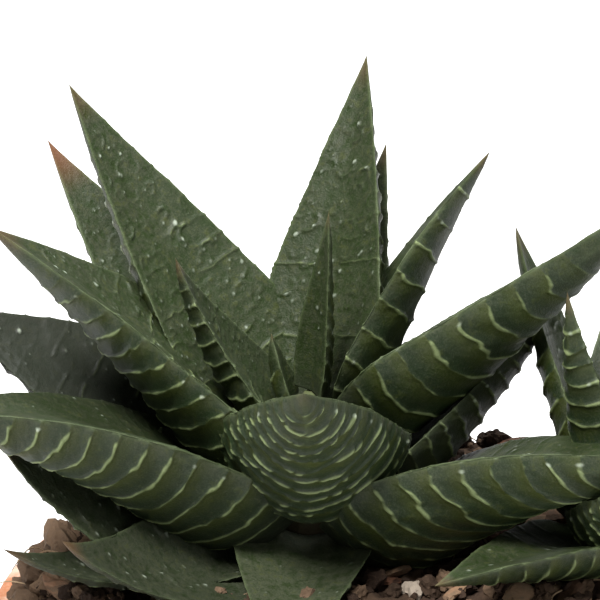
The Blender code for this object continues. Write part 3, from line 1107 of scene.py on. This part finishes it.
PLAIN = Skin()
HIDDEN = Skin(grain=0.75)
BROAD = Skin(
    pitch=4.5, reach=0.80, height=0.36, sweep=5.0, keel=0.45, upper=1.0, knobs=0.65, rings=0.6,
    grain=0.32,
)
LOW_BROAD = Skin(
    pitch=4.5, reach=0.84, height=0.32, sweep=12.0, bow=1.7, keel=0.70, upper=0.3, rust=0.2,
    shade=0.14, grain=0.32,
)
BARRED = Skin(
    pitch=4.6, reach=0.95, height=0.34, sweep=8.0, keel=0.5, upper=1.0, knobs=0.6, shade=0.78,
    grain=0.38,
)
ARCHED = Skin(
    pitch=4.4, shrink=0.12, reach=0.72, height=0.32, sweep=16.0, bow=1.7, keel=-0.75, teeth=0.04,
    rust=0.6, grain=0.32,
)
SWEPT = Skin(
    pitch=4.0, reach=0.90, height=0.28, sweep=20.0, bow=1.6, keel=-0.85, beads=0.45, grain=0.32,
)
BOSS = Skin(
    pitch=3.4, shrink=0.10, reach=0.90, height=0.46, sweep=4.5, bow=2.8, keel=0.08, beads=0.80,
    start=0.05, knobs=0.1, teeth=0.05, rust=0.1, grain=0.28,
)
LOOKING_UP = Skin(
    pitch=4.6, reach=0.80, upper=0.7, knobs=1.00, rings=1.20, teeth=0.16, rust=0.3, grain=0.34,
)
WIDENING = Skin(
    pitch=4.6, shrink=-0.45, reach=0.92, sweep=1.5, keel=-0.15, teeth=0.45, knobs=0.30,
    grain=0.32,
)
SCALLOPED = Skin(
    pitch=3.6, reach=0.90, sweep=4.0, teeth=0.45, knobs=0.8, rings=0.5, upper=0.8, shade=0.12,
    grain=0.34,
)
BROWN_TIP = Skin(pitch=4.6, teeth=0.12, rust=0.9, knobs=0.6, rings=0.4, grain=0.38)
CROWN = Skin(
    pitch=3.4, reach=0.6, height=0.20, upper=0.3, knobs=0.50, rings=0.2, teeth=0.12, grain=0.32,
)
OLD = Skin(
    pitch=4.6, height=0.10, upper=0.05, knobs=0.6, rings=0.25, teeth=0.10, aged=0.60, rust=0.3,
    shade=0.08, grain=0.42,
)
DULL = Skin(
    pitch=4.6, height=0.12, upper=0.15, knobs=0.8, rings=0.35, teeth=0.10, aged=0.5, rust=0.5,
    shade=0.36, grain=0.40,
)
DUSKY = Skin(
    pitch=3.8, height=0.24, sweep=4.0, teeth=0.40, knobs=0.9, rings=0.5, aged=0.25, shade=0.38,
    grain=0.36,
)


@dataclass
class Rosette:
    """A plant: its stem and its leaves, from the crown outwards."""

    stem: Stem
    leaves: Sequence[Leaf]
    seed: int

    def build(self, skin: bpy.types.Material, stem_skin: bpy.types.Material) -> None:
        """Grows every leaf and dresses the stem.

        Args:
            skin: The leaves' material.
            stem_skin: The stem's material.
        """
        for index, leaf in enumerate(self.leaves):
            made = LeafBuilder(leaf, self.stem, self.seed + 101 * index).build()
            dress(made, leaf.node + "_grown", skin, [leaf.node])
        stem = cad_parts[self.stem.node]
        stem.data.materials.clear()
        stem.data.materials.append(stem_skin)
        LOG.info("%s keeps its solid, with stem skin", self.stem.node)


def main_plant() -> Rosette:
    """The main plant, from the crown outwards."""
    stem = Stem("main_stem", -0.010, 0.006, 0.0080, 0.0270)
    name = "main_leaf_"
    leaves = (
        Leaf(name + "core", 27.4, 32, 85, 84, 1.0, 33, 10, 3.6, 4, 0.70, CROWN),
        Leaf(name + "core_left", 25.0, 168, 72, 76, 1.0, 13, 8, 3.0, 0, 0.60, CROWN),
        Leaf(name + "inner_left", 22.0, 190, 51, 70, 1.0, 37, 22, 5.0, -12, 0.50, SCALLOPED),
        Leaf(name + "inner_right", 22.0, 38, 64, 38, 1.0, 52, 32, 6.0, -40, 0.50, WIDENING),
        Leaf(name + "front", 14.8, 268, 48, 35, 1.0, 53, 38, 11.0, 0, 0.60, BOSS),
        Leaf(name + "back_tall", 20.0, 77, 63, 50, 1.0, 64, 32, 6.5, -28, 0.42, LOOKING_UP),
        Leaf(name + "back_left_tall", 18.0, 146, 49, 54, 1.0, 70, 36, 7.5, -4, 0.42, LOOKING_UP),
        Leaf(name + "right", 21.5, 8, 34, 39, 1.0, 68, 37, 9.5, -28, 0.50, ARCHED),
        Leaf(name + "left", 16.0, 189, 54, 36, 1.0, 65, 44, 9.5, 0, 0.50, BROAD),
        Leaf(name + "back_right_low", 15.0, 71, 51, 55, 1.0, 54, 20, 6.0, -6, 0.42, HIDDEN),
        Leaf(name + "back_left", 13.5, 139, 31, 47, 1.0, 70, 33, 7.0, -8, 0.42, BROWN_TIP),
        Leaf(name + "back_right", 11.0, 46, 20, 26, 1.0, 56, 28, 6.5, 0, 0.42, HIDDEN),
        Leaf(name + "low_left_front", 7.0, 207, 41, 2, 1.4, 78, 36, 12.5, 5, 0.60, LOW_BROAD),
        Leaf(name + "low_right_front", 3.4, 332, 46, 0, 0.9, 72, 40, 12.0, -14, 0.60, SWEPT),
        Leaf(name + "low_right", 7.0, 18, 36, 56, 1.0, 57, 34, 6.5, -16, 0.45, DUSKY),
        Leaf(name + "low_left", 9.0, 168, 30, 22, 1.0, 65, 38, 8.0, -26, 0.42, BARRED),
        Leaf(name + "back", 9.0, 106, 14, 16, 1.0, 58, 30, 6.5, 0, 0.42, HIDDEN),
        Leaf(name + "lowest_left", 5.5, 202, 2, 48, 1.0, 56, 38, 5.5, -44, 0.42, DUSKY),
        Leaf(name + "lowest_back_left", 5.0, 135, 5, 8, 1.0, 54, 26, 5.0, 0, 0.40, HIDDEN),
        Leaf(name + "lowest_back", 5.0, 76, 5, 8, 1.0, 52, 26, 5.0, 0, 0.40, HIDDEN),
        Leaf(name + "lowest_front", 3.6, 264, -3, -8, 1.0, 42, 27, 4.5, 0, 0.36, OLD),
        Leaf(name + "ground_left", 2.8, 223, -9, 44, 1.0, 53, 31, 4.5, -30, 0.42, DULL),
        Leaf(name + "ground_far_left", 1.8, 209, -14, 36, 1.0, 54, 26, 3.4, -6, 0.40, DULL),
    )
    return Rosette(stem, leaves, 1000)


def offset_plant() -> Rosette:
    """The offset at the main plant's side, from the crown outwards."""
    stem = Stem("pup_stem", 0.0450, -0.0035, 0.0055, 0.0190)
    name = "pup_leaf_"
    leaves = (
        Leaf(name + "core", 19.4, 20, 84, 86, 1.0, 22, 8, 3.0, 0, 0.70, CROWN),
        Leaf(name + "upright_left", 12.0, 205, 76, 80, 1.0, 42, 18, 4.5, 0, 0.50, SCALLOPED),
        Leaf(name + "upright_back", 13.0, 58, 66, 70, 1.0, 44, 19, 4.5, 0, 0.50, PLAIN),
        Leaf(name + "back_left", 9.0, 126, 51, 61, 1.0, 50, 26, 5.5, 34, 0.50, LOOKING_UP),
        Leaf(name + "front", 6.0, 262, 48, 36, 1.0, 32, 25, 6.0, 0, 0.60, BOSS),
        Leaf(name + "right", 8.0, 352, 34, 42, 1.0, 46, 24, 6.0, -10, 0.50, PLAIN),
        Leaf(name + "back", 6.0, 95, 26, 34, 1.0, 42, 24, 5.5, 0, 0.45, HIDDEN),
        Leaf(name + "low_left", 4.5, 222, 16, 2, 1.0, 42, 25, 5.5, 10, 0.50, PLAIN),
        Leaf(name + "low_right", 4.5, 308, 10, 14, 1.0, 40, 24, 5.5, 0, 0.45, PLAIN),
        Leaf(name + "low_back_right", 4.0, 40, 10, 18, 1.0, 42, 24, 5.0, 0, 0.42, HIDDEN),
        Leaf(name + "small_left", 3.5, 152, 38, 48, 1.0, 22, 12, 3.5, 0, 0.50, PLAIN),
    )
    return Rosette(stem, leaves, 5000)


# ---------------------------------------------------------------------------------------------
# Pot


@dataclass
class ClayPot:
    """A plain turned pot: tapered wall, band under the rim and four drain holes."""

    node: str = "pot"
    rim: float = 0.0660
    base: float = 0.0480
    height: float = 0.115
    wall: float = 0.0035
    floor: float = 0.0050
    band_height: float = 0.024
    band_step: float = 0.0025
    hole_radius: float = 0.0045
    hole_ring: float = 0.0260
    holes: int = 4
    segments: int = 168

    def outer(self, height: float) -> float:
        """Outer radius of the plain wall at a height."""
        share = height / self.height
        return self.base + (self.rim - self.band_step - self.base) * share

    def inner(self, height: float) -> float:
        """Inner radius at a height."""
        return self.outer(height) - self.wall

    @staticmethod
    def corner(start: Point, bend: Point, end: Point, steps: int = 4) -> List[Tuple[float, float]]:
        """Points of a rounded corner in the profile.

        Args:
            start: Where the corner starts.
            bend: The corner itself.
            end: Where it ends.
            steps: Gaps between its points.

        Returns:
            The points, start and end among them.
        """
        found = []
        for i in range(steps + 1):
            s = i / steps
            found.append(
                tuple(
                    (1 - s) ** 2 * start[k] + 2 * s * (1 - s) * bend[k] + s * s * end[k]
                    for k in range(2)
                )
            )
        return found

    def profile(self) -> List[Tuple[float, float]]:
        """(radius, height) of each ring, from the middle of the base round to the inner floor."""
        soft, top = 0.0016, self.height
        foot = top - self.band_height
        rings = [(0.004, 0.0)]
        rings += self.corner((self.base - soft, 0.0), (self.base, 0.0), (self.outer(soft), soft))
        rows = 26
        for i in range(1, rows):
            z = soft + (foot - soft) * i / rows
            ripple = 0.00006 * math.sin(i * 2.3) - 0.00004
            rings.append((self.outer(z) + ripple, z))
        rings += self.corner(
            (self.outer(foot), foot - 0.0008),
            (self.outer(foot), foot),
            (self.outer(foot) + 0.0007, foot + 0.0001),
            3,
        )
        under = self.rim - 0.0001
        rings += self.corner(
            (under - 0.0012, foot + 0.0003), (under, foot + 0.0003), (under, foot + 0.0015)
        )
        for i in range(1, 8):
            z = foot + 0.0015 + (top - soft - foot - 0.0015) * i / 8
            rings.append((self.rim - 0.00005 - 0.00005 * math.cos(i * 2.1), z))
        rings += self.corner((self.rim, top - soft), (self.rim, top), (self.rim - soft, top))
        mouth = self.inner(top)
        rings += self.corner((mouth + 0.0011, top), (mouth, top), (mouth, top - 0.0012))
        for i in range(1, 10):
            z = top - 0.0012 - (top - 0.0012 - self.floor - 0.003) * i / 10
            rings.append((self.inner(z), z))
        low = self.inner(self.floor)
        rings += self.corner(
            (self.inner(self.floor + 0.003), self.floor + 0.003),
            (low, self.floor),
            (low - 0.003, self.floor),
        )
        rings.append((0.004, self.floor))
        return rings

    def drill(self, pot: bpy.types.Object) -> None:
        """Cuts the drain holes through the floor.

        Args:
            pot: The turned pot.
        """
        for index in range(self.holes):
            angle = math.tau * (index + 0.5) / self.holes
            choose_none()
            bpy.ops.mesh.primitive_cylinder_add(
                vertices=32,
                radius=self.hole_radius,
                depth=self.floor * 3,
                location=(
                    math.cos(angle) * self.hole_ring,
                    math.sin(angle) * self.hole_ring,
                    self.floor / 2,
                ),
            )
            tool = bpy.context.object
            choose(pot)
            cut = pot.modifiers.new("Drain", "BOOLEAN")
            cut.operation = "DIFFERENCE"
            cut.solver = "EXACT"
            cut.object = tool
            bpy.ops.object.modifier_apply(modifier=cut.name)
            bpy.data.objects.remove(tool, do_unlink=True)

    def build(self, clay: bpy.types.Material) -> None:
        """Turns, drills and dresses the pot.

        Args:
            clay: Its material.
        """
        pot = lathe("turned_pot", self.profile(), self.segments)
        self.drill(pot)
        choose(pot)
        bpy.ops.object.shade_smooth_by_angle(angle=math.radians(50))
        dress(pot, "turned_pot", clay, [self.node])


# ---------------------------------------------------------------------------------------------
# Soil


class Debris(Enum):
    """What lies in and on the soil."""

    CRUMB = "crumb"
    CHIP = "chip"


@dataclass
class SoilBed:
    """The soil: a rough mound, with crumbs, lumps, bark chips and fibres on it."""

    node: str = "soil"
    top: float = 0.128
    mound: float = 0.010
    edge: float = 0.0597
    flat_share: float = 0.76
    rim_height: float = 0.115
    low: float = 0.0056
    foot: float = 0.0455
    wall: float = 0.106
    outer: float = 0.0594
    inner: float = 0.0012
    rings: int = 84
    segments: int = 220
    crumbs: int = 1500
    chips: int = 110
    fibres: int = 34
    seed: int = 77

    def height(self, radius: np.ndarray) -> np.ndarray:
        """Height of the mound at a distance from the pot's axis."""
        flat = self.edge * self.flat_share
        share = np.clip((radius - flat) / (self.edge - flat), 0.0, 1.3)
        fall = (1.0 - np.cos(math.pi * share * 0.62)) / (1.0 - math.cos(math.pi * 0.62))
        return self.top - self.mound * fall

    def build_bed(self, earth: bpy.types.Material) -> None:
        """Raises the rough mound that stands for the packed soil.

        Args:
            earth: Its material.
        """
        low, foot = self.low, self.foot
        rings = [(0.003, low), (0.0425, low), (foot, low + 0.003)]
        for i in (2, 4, 6):
            rings.append((foot + (self.edge - foot) * i / 6, low + 0.003 + self.wall * i / 6))
        for i in range(self.rings + 1):
            radius = self.outer - (self.outer - self.inner) * i / self.rings
            rings.append((radius, float(self.height(np.array(radius)))))
        made = lathe("soil_bed", rings, self.segments)
        points = points_of(made)
        radius = np.hypot(points[:, 0], points[:, 1])
        on_top = step(points[:, 2], self.rim_height - 0.004, self.rim_height + 0.001)
        coarse = soft_noise(points[:, 0] / 0.0070, points[:, 1] / 0.0070, 3) - 0.5
        middling = soft_noise(points[:, 0] / 0.0028, points[:, 1] / 0.0028, 4) - 0.5
        fine = soft_noise(points[:, 0] / 0.0011, points[:, 1] / 0.0011, 5) - 0.5
        rough = (coarse * 2.6 + middling * 1.7 + fine * 0.9) * MM
        points[:, 2] += rough * on_top * step(radius, 0.0597, 0.0570)
        points[:, 2] -= 0.0006 * on_top
        move_points(made, points)
        tan = np.clip(middling, 0, 1) * 0.6
        tint = np.stack([coarse + 0.5, tan, np.zeros_like(fine), np.ones_like(fine)], 1)
        paint(made, "tint", tint)
        made.data.shade_smooth()
        dress(made, "soil_bed", earth, [self.node])

    def shape(
        self, kind: Debris, number: int, rng: np.random.Generator
    ) -> Tuple[np.ndarray, np.ndarray]:
        """One rough crumb or chip, about one unit across.

        Args:
            kind: What it is.
            number: How finely it is made.
            rng: Where its roughness comes from.

        Returns:
            Its points and its triangles.
        """
        choose_none()
        bpy.ops.mesh.primitive_ico_sphere_add(subdivisions=number, radius=0.5)
        made = bpy.context.object
        points = points_of(made)
        ways = rng.normal(size=(5, 3))
        phases = rng.uniform(0, math.tau, 5)
        swell = sum(np.sin(points @ (way * 4.0) + phase) for way, phase in zip(ways, phases))
        jitter = rng.uniform(-0.16, 0.16, len(points))
        points = points * (1.0 + 0.13 * swell)[:, None] * (1.0 + jitter)[:, None]
        if kind is Debris.CHIP:
            points = np.sign(points) * np.abs(points) ** 0.7 * np.array([1.0, 0.62, 0.22])
        else:
            points = points * np.array([1.0, rng.uniform(0.7, 0.95), rng.uniform(0.6, 0.85)])
        faces = np.array([list(face.vertices) for face in made.data.polygons])
        bpy.data.objects.remove(made, do_unlink=True)
        return points, faces

    @staticmethod
    def turn(rng: np.random.Generator, tilt: float) -> np.ndarray:
        """A random turn about Z after a random tilt of up to so many radians."""
        spin = rng.uniform(0, math.tau)
        lean = rng.uniform(-tilt, tilt)
        way = rng.uniform(0, math.tau)
        c, s = math.cos(spin), math.sin(spin)
        about = np.array([[c, -s, 0.0], [s, c, 0.0], [0.0, 0.0, 1.0]])
        x, y = math.cos(way), math.sin(way)
        lever = np.array([[0.0, 0.0, y], [0.0, 0.0, -x], [-y, x, 0.0]])
        leaning = np.eye(3) + math.sin(lean) * lever + (1 - math.cos(lean)) * (lever @ lever)
        return leaning @ about

    def join(
        self, name: str, parts: Sequence[Tuple[np.ndarray, np.ndarray, Sequence[float]]]
    ) -> bpy.types.Object:
        """Joins placed shapes in one mesh.

        Args:
            name: The object's name.
            parts: Points, triangles and tint of each.

        Returns:
            The object.
        """
        points, faces, tints, total = [], [], [], 0
        for some, triangles, tint in parts:
            points.append(some)
            faces.append(triangles + total)
            tints.append(np.tile(np.array([*tint, 1.0]), (len(some), 1)))
            total += len(some)
        mesh = bpy.data.meshes.new(name)
        mesh.from_pydata(np.concatenate(points).tolist(), [], np.concatenate(faces).tolist())
        made = bpy.data.objects.new(name, mesh)
        bpy.context.scene.collection.objects.link(made)
        paint(made, "tint", np.concatenate(tints))
        mesh.shade_flat()
        return made

    def spot(self, rng: np.random.Generator, size: float, outer: float) -> np.ndarray:
        """A random place on the mound for something of this size."""
        radius = outer * math.sqrt(rng.uniform(0.0, 1.0))
        angle = rng.uniform(0, math.tau)
        x, y = radius * math.cos(angle), radius * math.sin(angle)
        z = float(self.height(np.array(radius))) + size * rng.uniform(-0.05, 0.30)
        if radius > self.edge:
            z = self.rim_height + size * 0.30
        return np.array([x, y, z])

    def build_crumbs(self, earth: bpy.types.Material) -> None:
        """Scatters crumbs and heaps a few lumps at the left.

        Args:
            earth: Their material.
        """
        rng = np.random.default_rng(self.seed)
        small = [self.shape(Debris.CRUMB, 2, rng) for _ in range(6)]
        large = [self.shape(Debris.CRUMB, 3, rng) for _ in range(5)]
        parts = []
        for _ in range(self.crumbs):
            size = (1.2 + 3.6 * rng.uniform() ** 2.6) * MM
            points, faces = (small if size < 3.2 * MM else large)[rng.integers(0, 5)]
            spot = self.spot(rng, size, 0.0622)
            placed = points * size @ self.turn(rng, 1.2).T + spot
            tan = max(0.0, rng.uniform(-1.2, 1.0)) ** 1.5
            shade = rng.uniform()
            pale = 1.0 if rng.uniform() < 0.02 else 0.0
            parts.append((placed, faces, (shade, tan, pale)))
        for x, y, z, size, tan in self.lumps():
            points, faces = large[rng.integers(0, 5)]
            spot = np.array([x, y, z]) * MM
            placed = points * size * MM @ self.turn(rng, 1.2).T + spot
            parts.append((placed, faces, (rng.uniform(0.3, 1.0), tan, 0.0)))
        made = self.join("soil_crumbs", parts)
        dress(made, "soil_crumbs", earth)

    @staticmethod
    def lumps() -> Sequence[Tuple[float, float, float, float, float]]:
        """Larger lumps: x, y, z and size in millimetres, and how tan each is."""
        return (
            (-53, 4, 127, 9, 0.7), (-57, 0, 123, 9, 0.4), (-50, 8, 126, 8, 0.5),
            (-55, 9, 122, 9, 0.3), (-59, -6, 119, 8, 0.6), (-48, 2, 129, 6, 0.9),
            (-54, -4, 124, 7, 1.0), (-60, 3, 119, 6, 0.5), (-51, -10, 122, 8, 0.4),
            (-46, -16, 124, 7, 0.6), (-56, -14, 117, 8, 0.7), (22, 22, 130, 6, 0.8),
            (26, 16, 131, 5, 0.5), (30, 20, 129, 6, 0.4), (19, 17, 131, 4, 0.9),
            (2, -40, 128, 7, 0.8), (8, -43, 127, 6, 0.6), (13, -40, 128, 6, 0.9),
            (6, -36, 129, 5, 0.5), (17, -45, 125, 6, 0.7), (-4, -45, 126, 6, 0.4),
            (26, -41, 126, 5, 0.6),
        )

    def build_chips(self, bark: bpy.types.Material) -> None:
        """Scatters bark chips and thin fibres.

        Args:
            bark: Their material.
        """
        rng = np.random.default_rng(self.seed + 1)
        shapes = [self.shape(Debris.CHIP, 2, rng) for _ in range(6)]
        parts = []
        for _ in range(self.chips):
            size = rng.uniform(3.0, 8.0) * MM
            points, faces = shapes[rng.integers(0, 6)]
            spot = self.spot(rng, size * 0.4, 0.058)
            placed = points * size @ self.turn(rng, 0.6).T + spot
            parts.append((placed, faces, (rng.uniform(), max(0.0, rng.uniform(-0.8, 0.6)), 0.0)))
        for _ in range(self.fibres):
            start = self.spot(rng, 2 * MM, 0.056)
            parts.append(self.fibre(start, rng, rng.uniform(6, 16) * MM))
        for x, y, z in ((-56, 2, 127), (38, -36, 127), (-50, -4, 128)):
            start = np.array([x, y, z]) * MM
            parts.append(self.fibre(start, rng, 9 * MM, 2.2 * MM))
        made = self.join("bark_and_fibres", parts)
        dress(made, "bark_and_fibres", bark)

    @staticmethod
    def fibre(
        start: np.ndarray, rng: np.random.Generator, length: float, hoop: float = 0.9 * MM
    ) -> Tuple[np.ndarray, np.ndarray, Sequence[float]]:
        """A thin curled fibre.

        Args:
            start: Where it starts.
            rng: Where its curl comes from.
            length: Its length.
            hoop: How high it arches.

        Returns:
            Its points, triangles and tint.
        """
        steps, sides = 18, 6
        way = rng.uniform(0, math.tau)
        curl = rng.uniform(-1.6, 1.6)
        path = [start]
        for i in range(steps):
            angle = way + curl * math.sin(math.pi * i / steps)
            move = np.array([math.cos(angle), math.sin(angle), 0.0]) * length / steps
            path.append(path[-1] + move)
        path = np.array(path)
        path[:, 2] += hoop * np.sin(np.linspace(0, math.pi, steps + 1)) ** 0.8 - 0.4 * MM
        taper = np.sin(np.linspace(0.12, math.pi - 0.12, steps + 1)) ** 0.4
        radius = rng.uniform(0.10, 0.20) * MM * taper
        aim = np.gradient(path, axis=0)
        aim /= np.linalg.norm(aim, axis=1, keepdims=True)
        side = np.cross(aim, [0.0, 0.0, 1.0])
        side /= np.maximum(np.linalg.norm(side, axis=1, keepdims=True), 1e-9)
        lift = np.cross(side, aim)
        angles = np.arange(sides) / sides * math.tau
        ring = side[:, None] * np.cos(angles)[None, :, None]
        ring = ring + lift[:, None] * np.sin(angles)[None, :, None]
        points = (path[:, None] + ring * radius[:, None, None]).reshape(-1, 3)
        faces = []
        for i in range(steps):
            for j in range(sides):
                a, b = i * sides + j, i * sides + (j + 1) % sides
                faces += [(a, b, b + sides), (a, b + sides, a + sides)]
        last = steps * sides
        faces += [(0, j + 1, j) for j in range(1, sides - 1)]
        faces += [(last, last + j, last + j + 1) for j in range(1, sides - 1)]
        return points, np.array(faces), (0.5, rng.uniform(0.5, 1.0), 0.0)


# ---------------------------------------------------------------------------------------------
# Studio


@dataclass
class Studio:
    """The pale floor, the soft lights and the camera."""

    target: Point = (-0.0122, 0.0, 0.1750)
    distance: float = 0.90
    elevation: float = 24.0
    lens: float = 321.4
    sensor: float = 36.0
    ambient: float = 0.15
    ambient_colour: Colour = (0.99, 1.0, 1.0)

    def build(self, floor_finish: bpy.types.Material) -> None:
        """Sets the floor, the lights, the surroundings and the camera.

        Args:
            floor_finish: The floor's material.
        """
        choose_none()
        bpy.ops.mesh.primitive_plane_add(size=8.0, location=(0.0, 0.0, 0.0))
        floor = bpy.context.object
        floor.name = "floor"
        floor.data.materials.append(floor_finish)
        world = bpy.data.worlds.new("studio")
        world.use_nodes = True
        background = world.node_tree.nodes["Background"]
        background.inputs["Color"].default_value = (*self.ambient_colour, 1.0)
        background.inputs["Strength"].default_value = self.ambient
        bpy.context.scene.world = world
        self.soft_light("key", (-0.30, -0.50, 1.30), 0.38, 30.0, (1.0, 0.99, 0.97))
        self.soft_light("fill", (0.85, -0.60, 0.55), 0.60, 3.0, (0.98, 1.0, 1.0))
        self.soft_light("overhead", (0.15, 0.45, 1.35), 0.55, 16.0, (0.98, 1.0, 1.0))
        self.aim_camera()

    def soft_light(
        self, name: str, place: Point, size: float, power: float, colour: Colour
    ) -> None:
        """Adds a square soft light that faces the plant.

        Args:
            name: Its name.
            place: Where it stands.
            size: The length of its side.
            power: Its power, in watts.
            colour: Its colour.
        """
        lamp = bpy.data.lights.new(name, "AREA")
        lamp.size = size
        lamp.energy = power
        lamp.color = colour
        made = bpy.data.objects.new(name, lamp)
        bpy.context.scene.collection.objects.link(made)
        made.location = place
        aim = Vector(self.target) - Vector(place)
        made.rotation_euler = aim.to_track_quat("-Z", "Y").to_euler()

    def aim_camera(self) -> None:
        """Adds the camera and looks along +Y and down at the plant."""
        lens = bpy.data.cameras.new("camera")
        lens.sensor_width = self.sensor
        lens.lens = self.lens
        lens.clip_start = 0.01
        lens.clip_end = 50.0
        made = bpy.data.objects.new("camera", lens)
        bpy.context.scene.collection.objects.link(made)
        down = math.radians(self.elevation)
        back = Vector((0.0, -math.cos(down), math.sin(down)))
        made.location = Vector(self.target) + back * self.distance
        made.rotation_euler = (-back).to_track_quat("-Z", "Y").to_euler()
        bpy.context.scene.camera = made


def main() -> None:
    """Builds the plant, its pot and its soil, and then the studio."""
    logging.basicConfig(level=logging.INFO, format="%(message)s")
    bpy.context.scene.view_settings.view_transform = "Standard"
    leaf_skin, stem_skin = LeafSkin().build(), StemSkin().build()
    for plant in (main_plant(), offset_plant()):
        plant.build(leaf_skin, stem_skin)
    ClayPot().build(FiredClay().build())
    soil, earth, bark = SoilBed(), Earth().build(), Bark().build()
    soil.build_bed(earth)
    soil.build_crumbs(earth)
    soil.build_chips(bark)
    Studio().build(Backdrop().build())


if __name__ == "__main__":
    main()
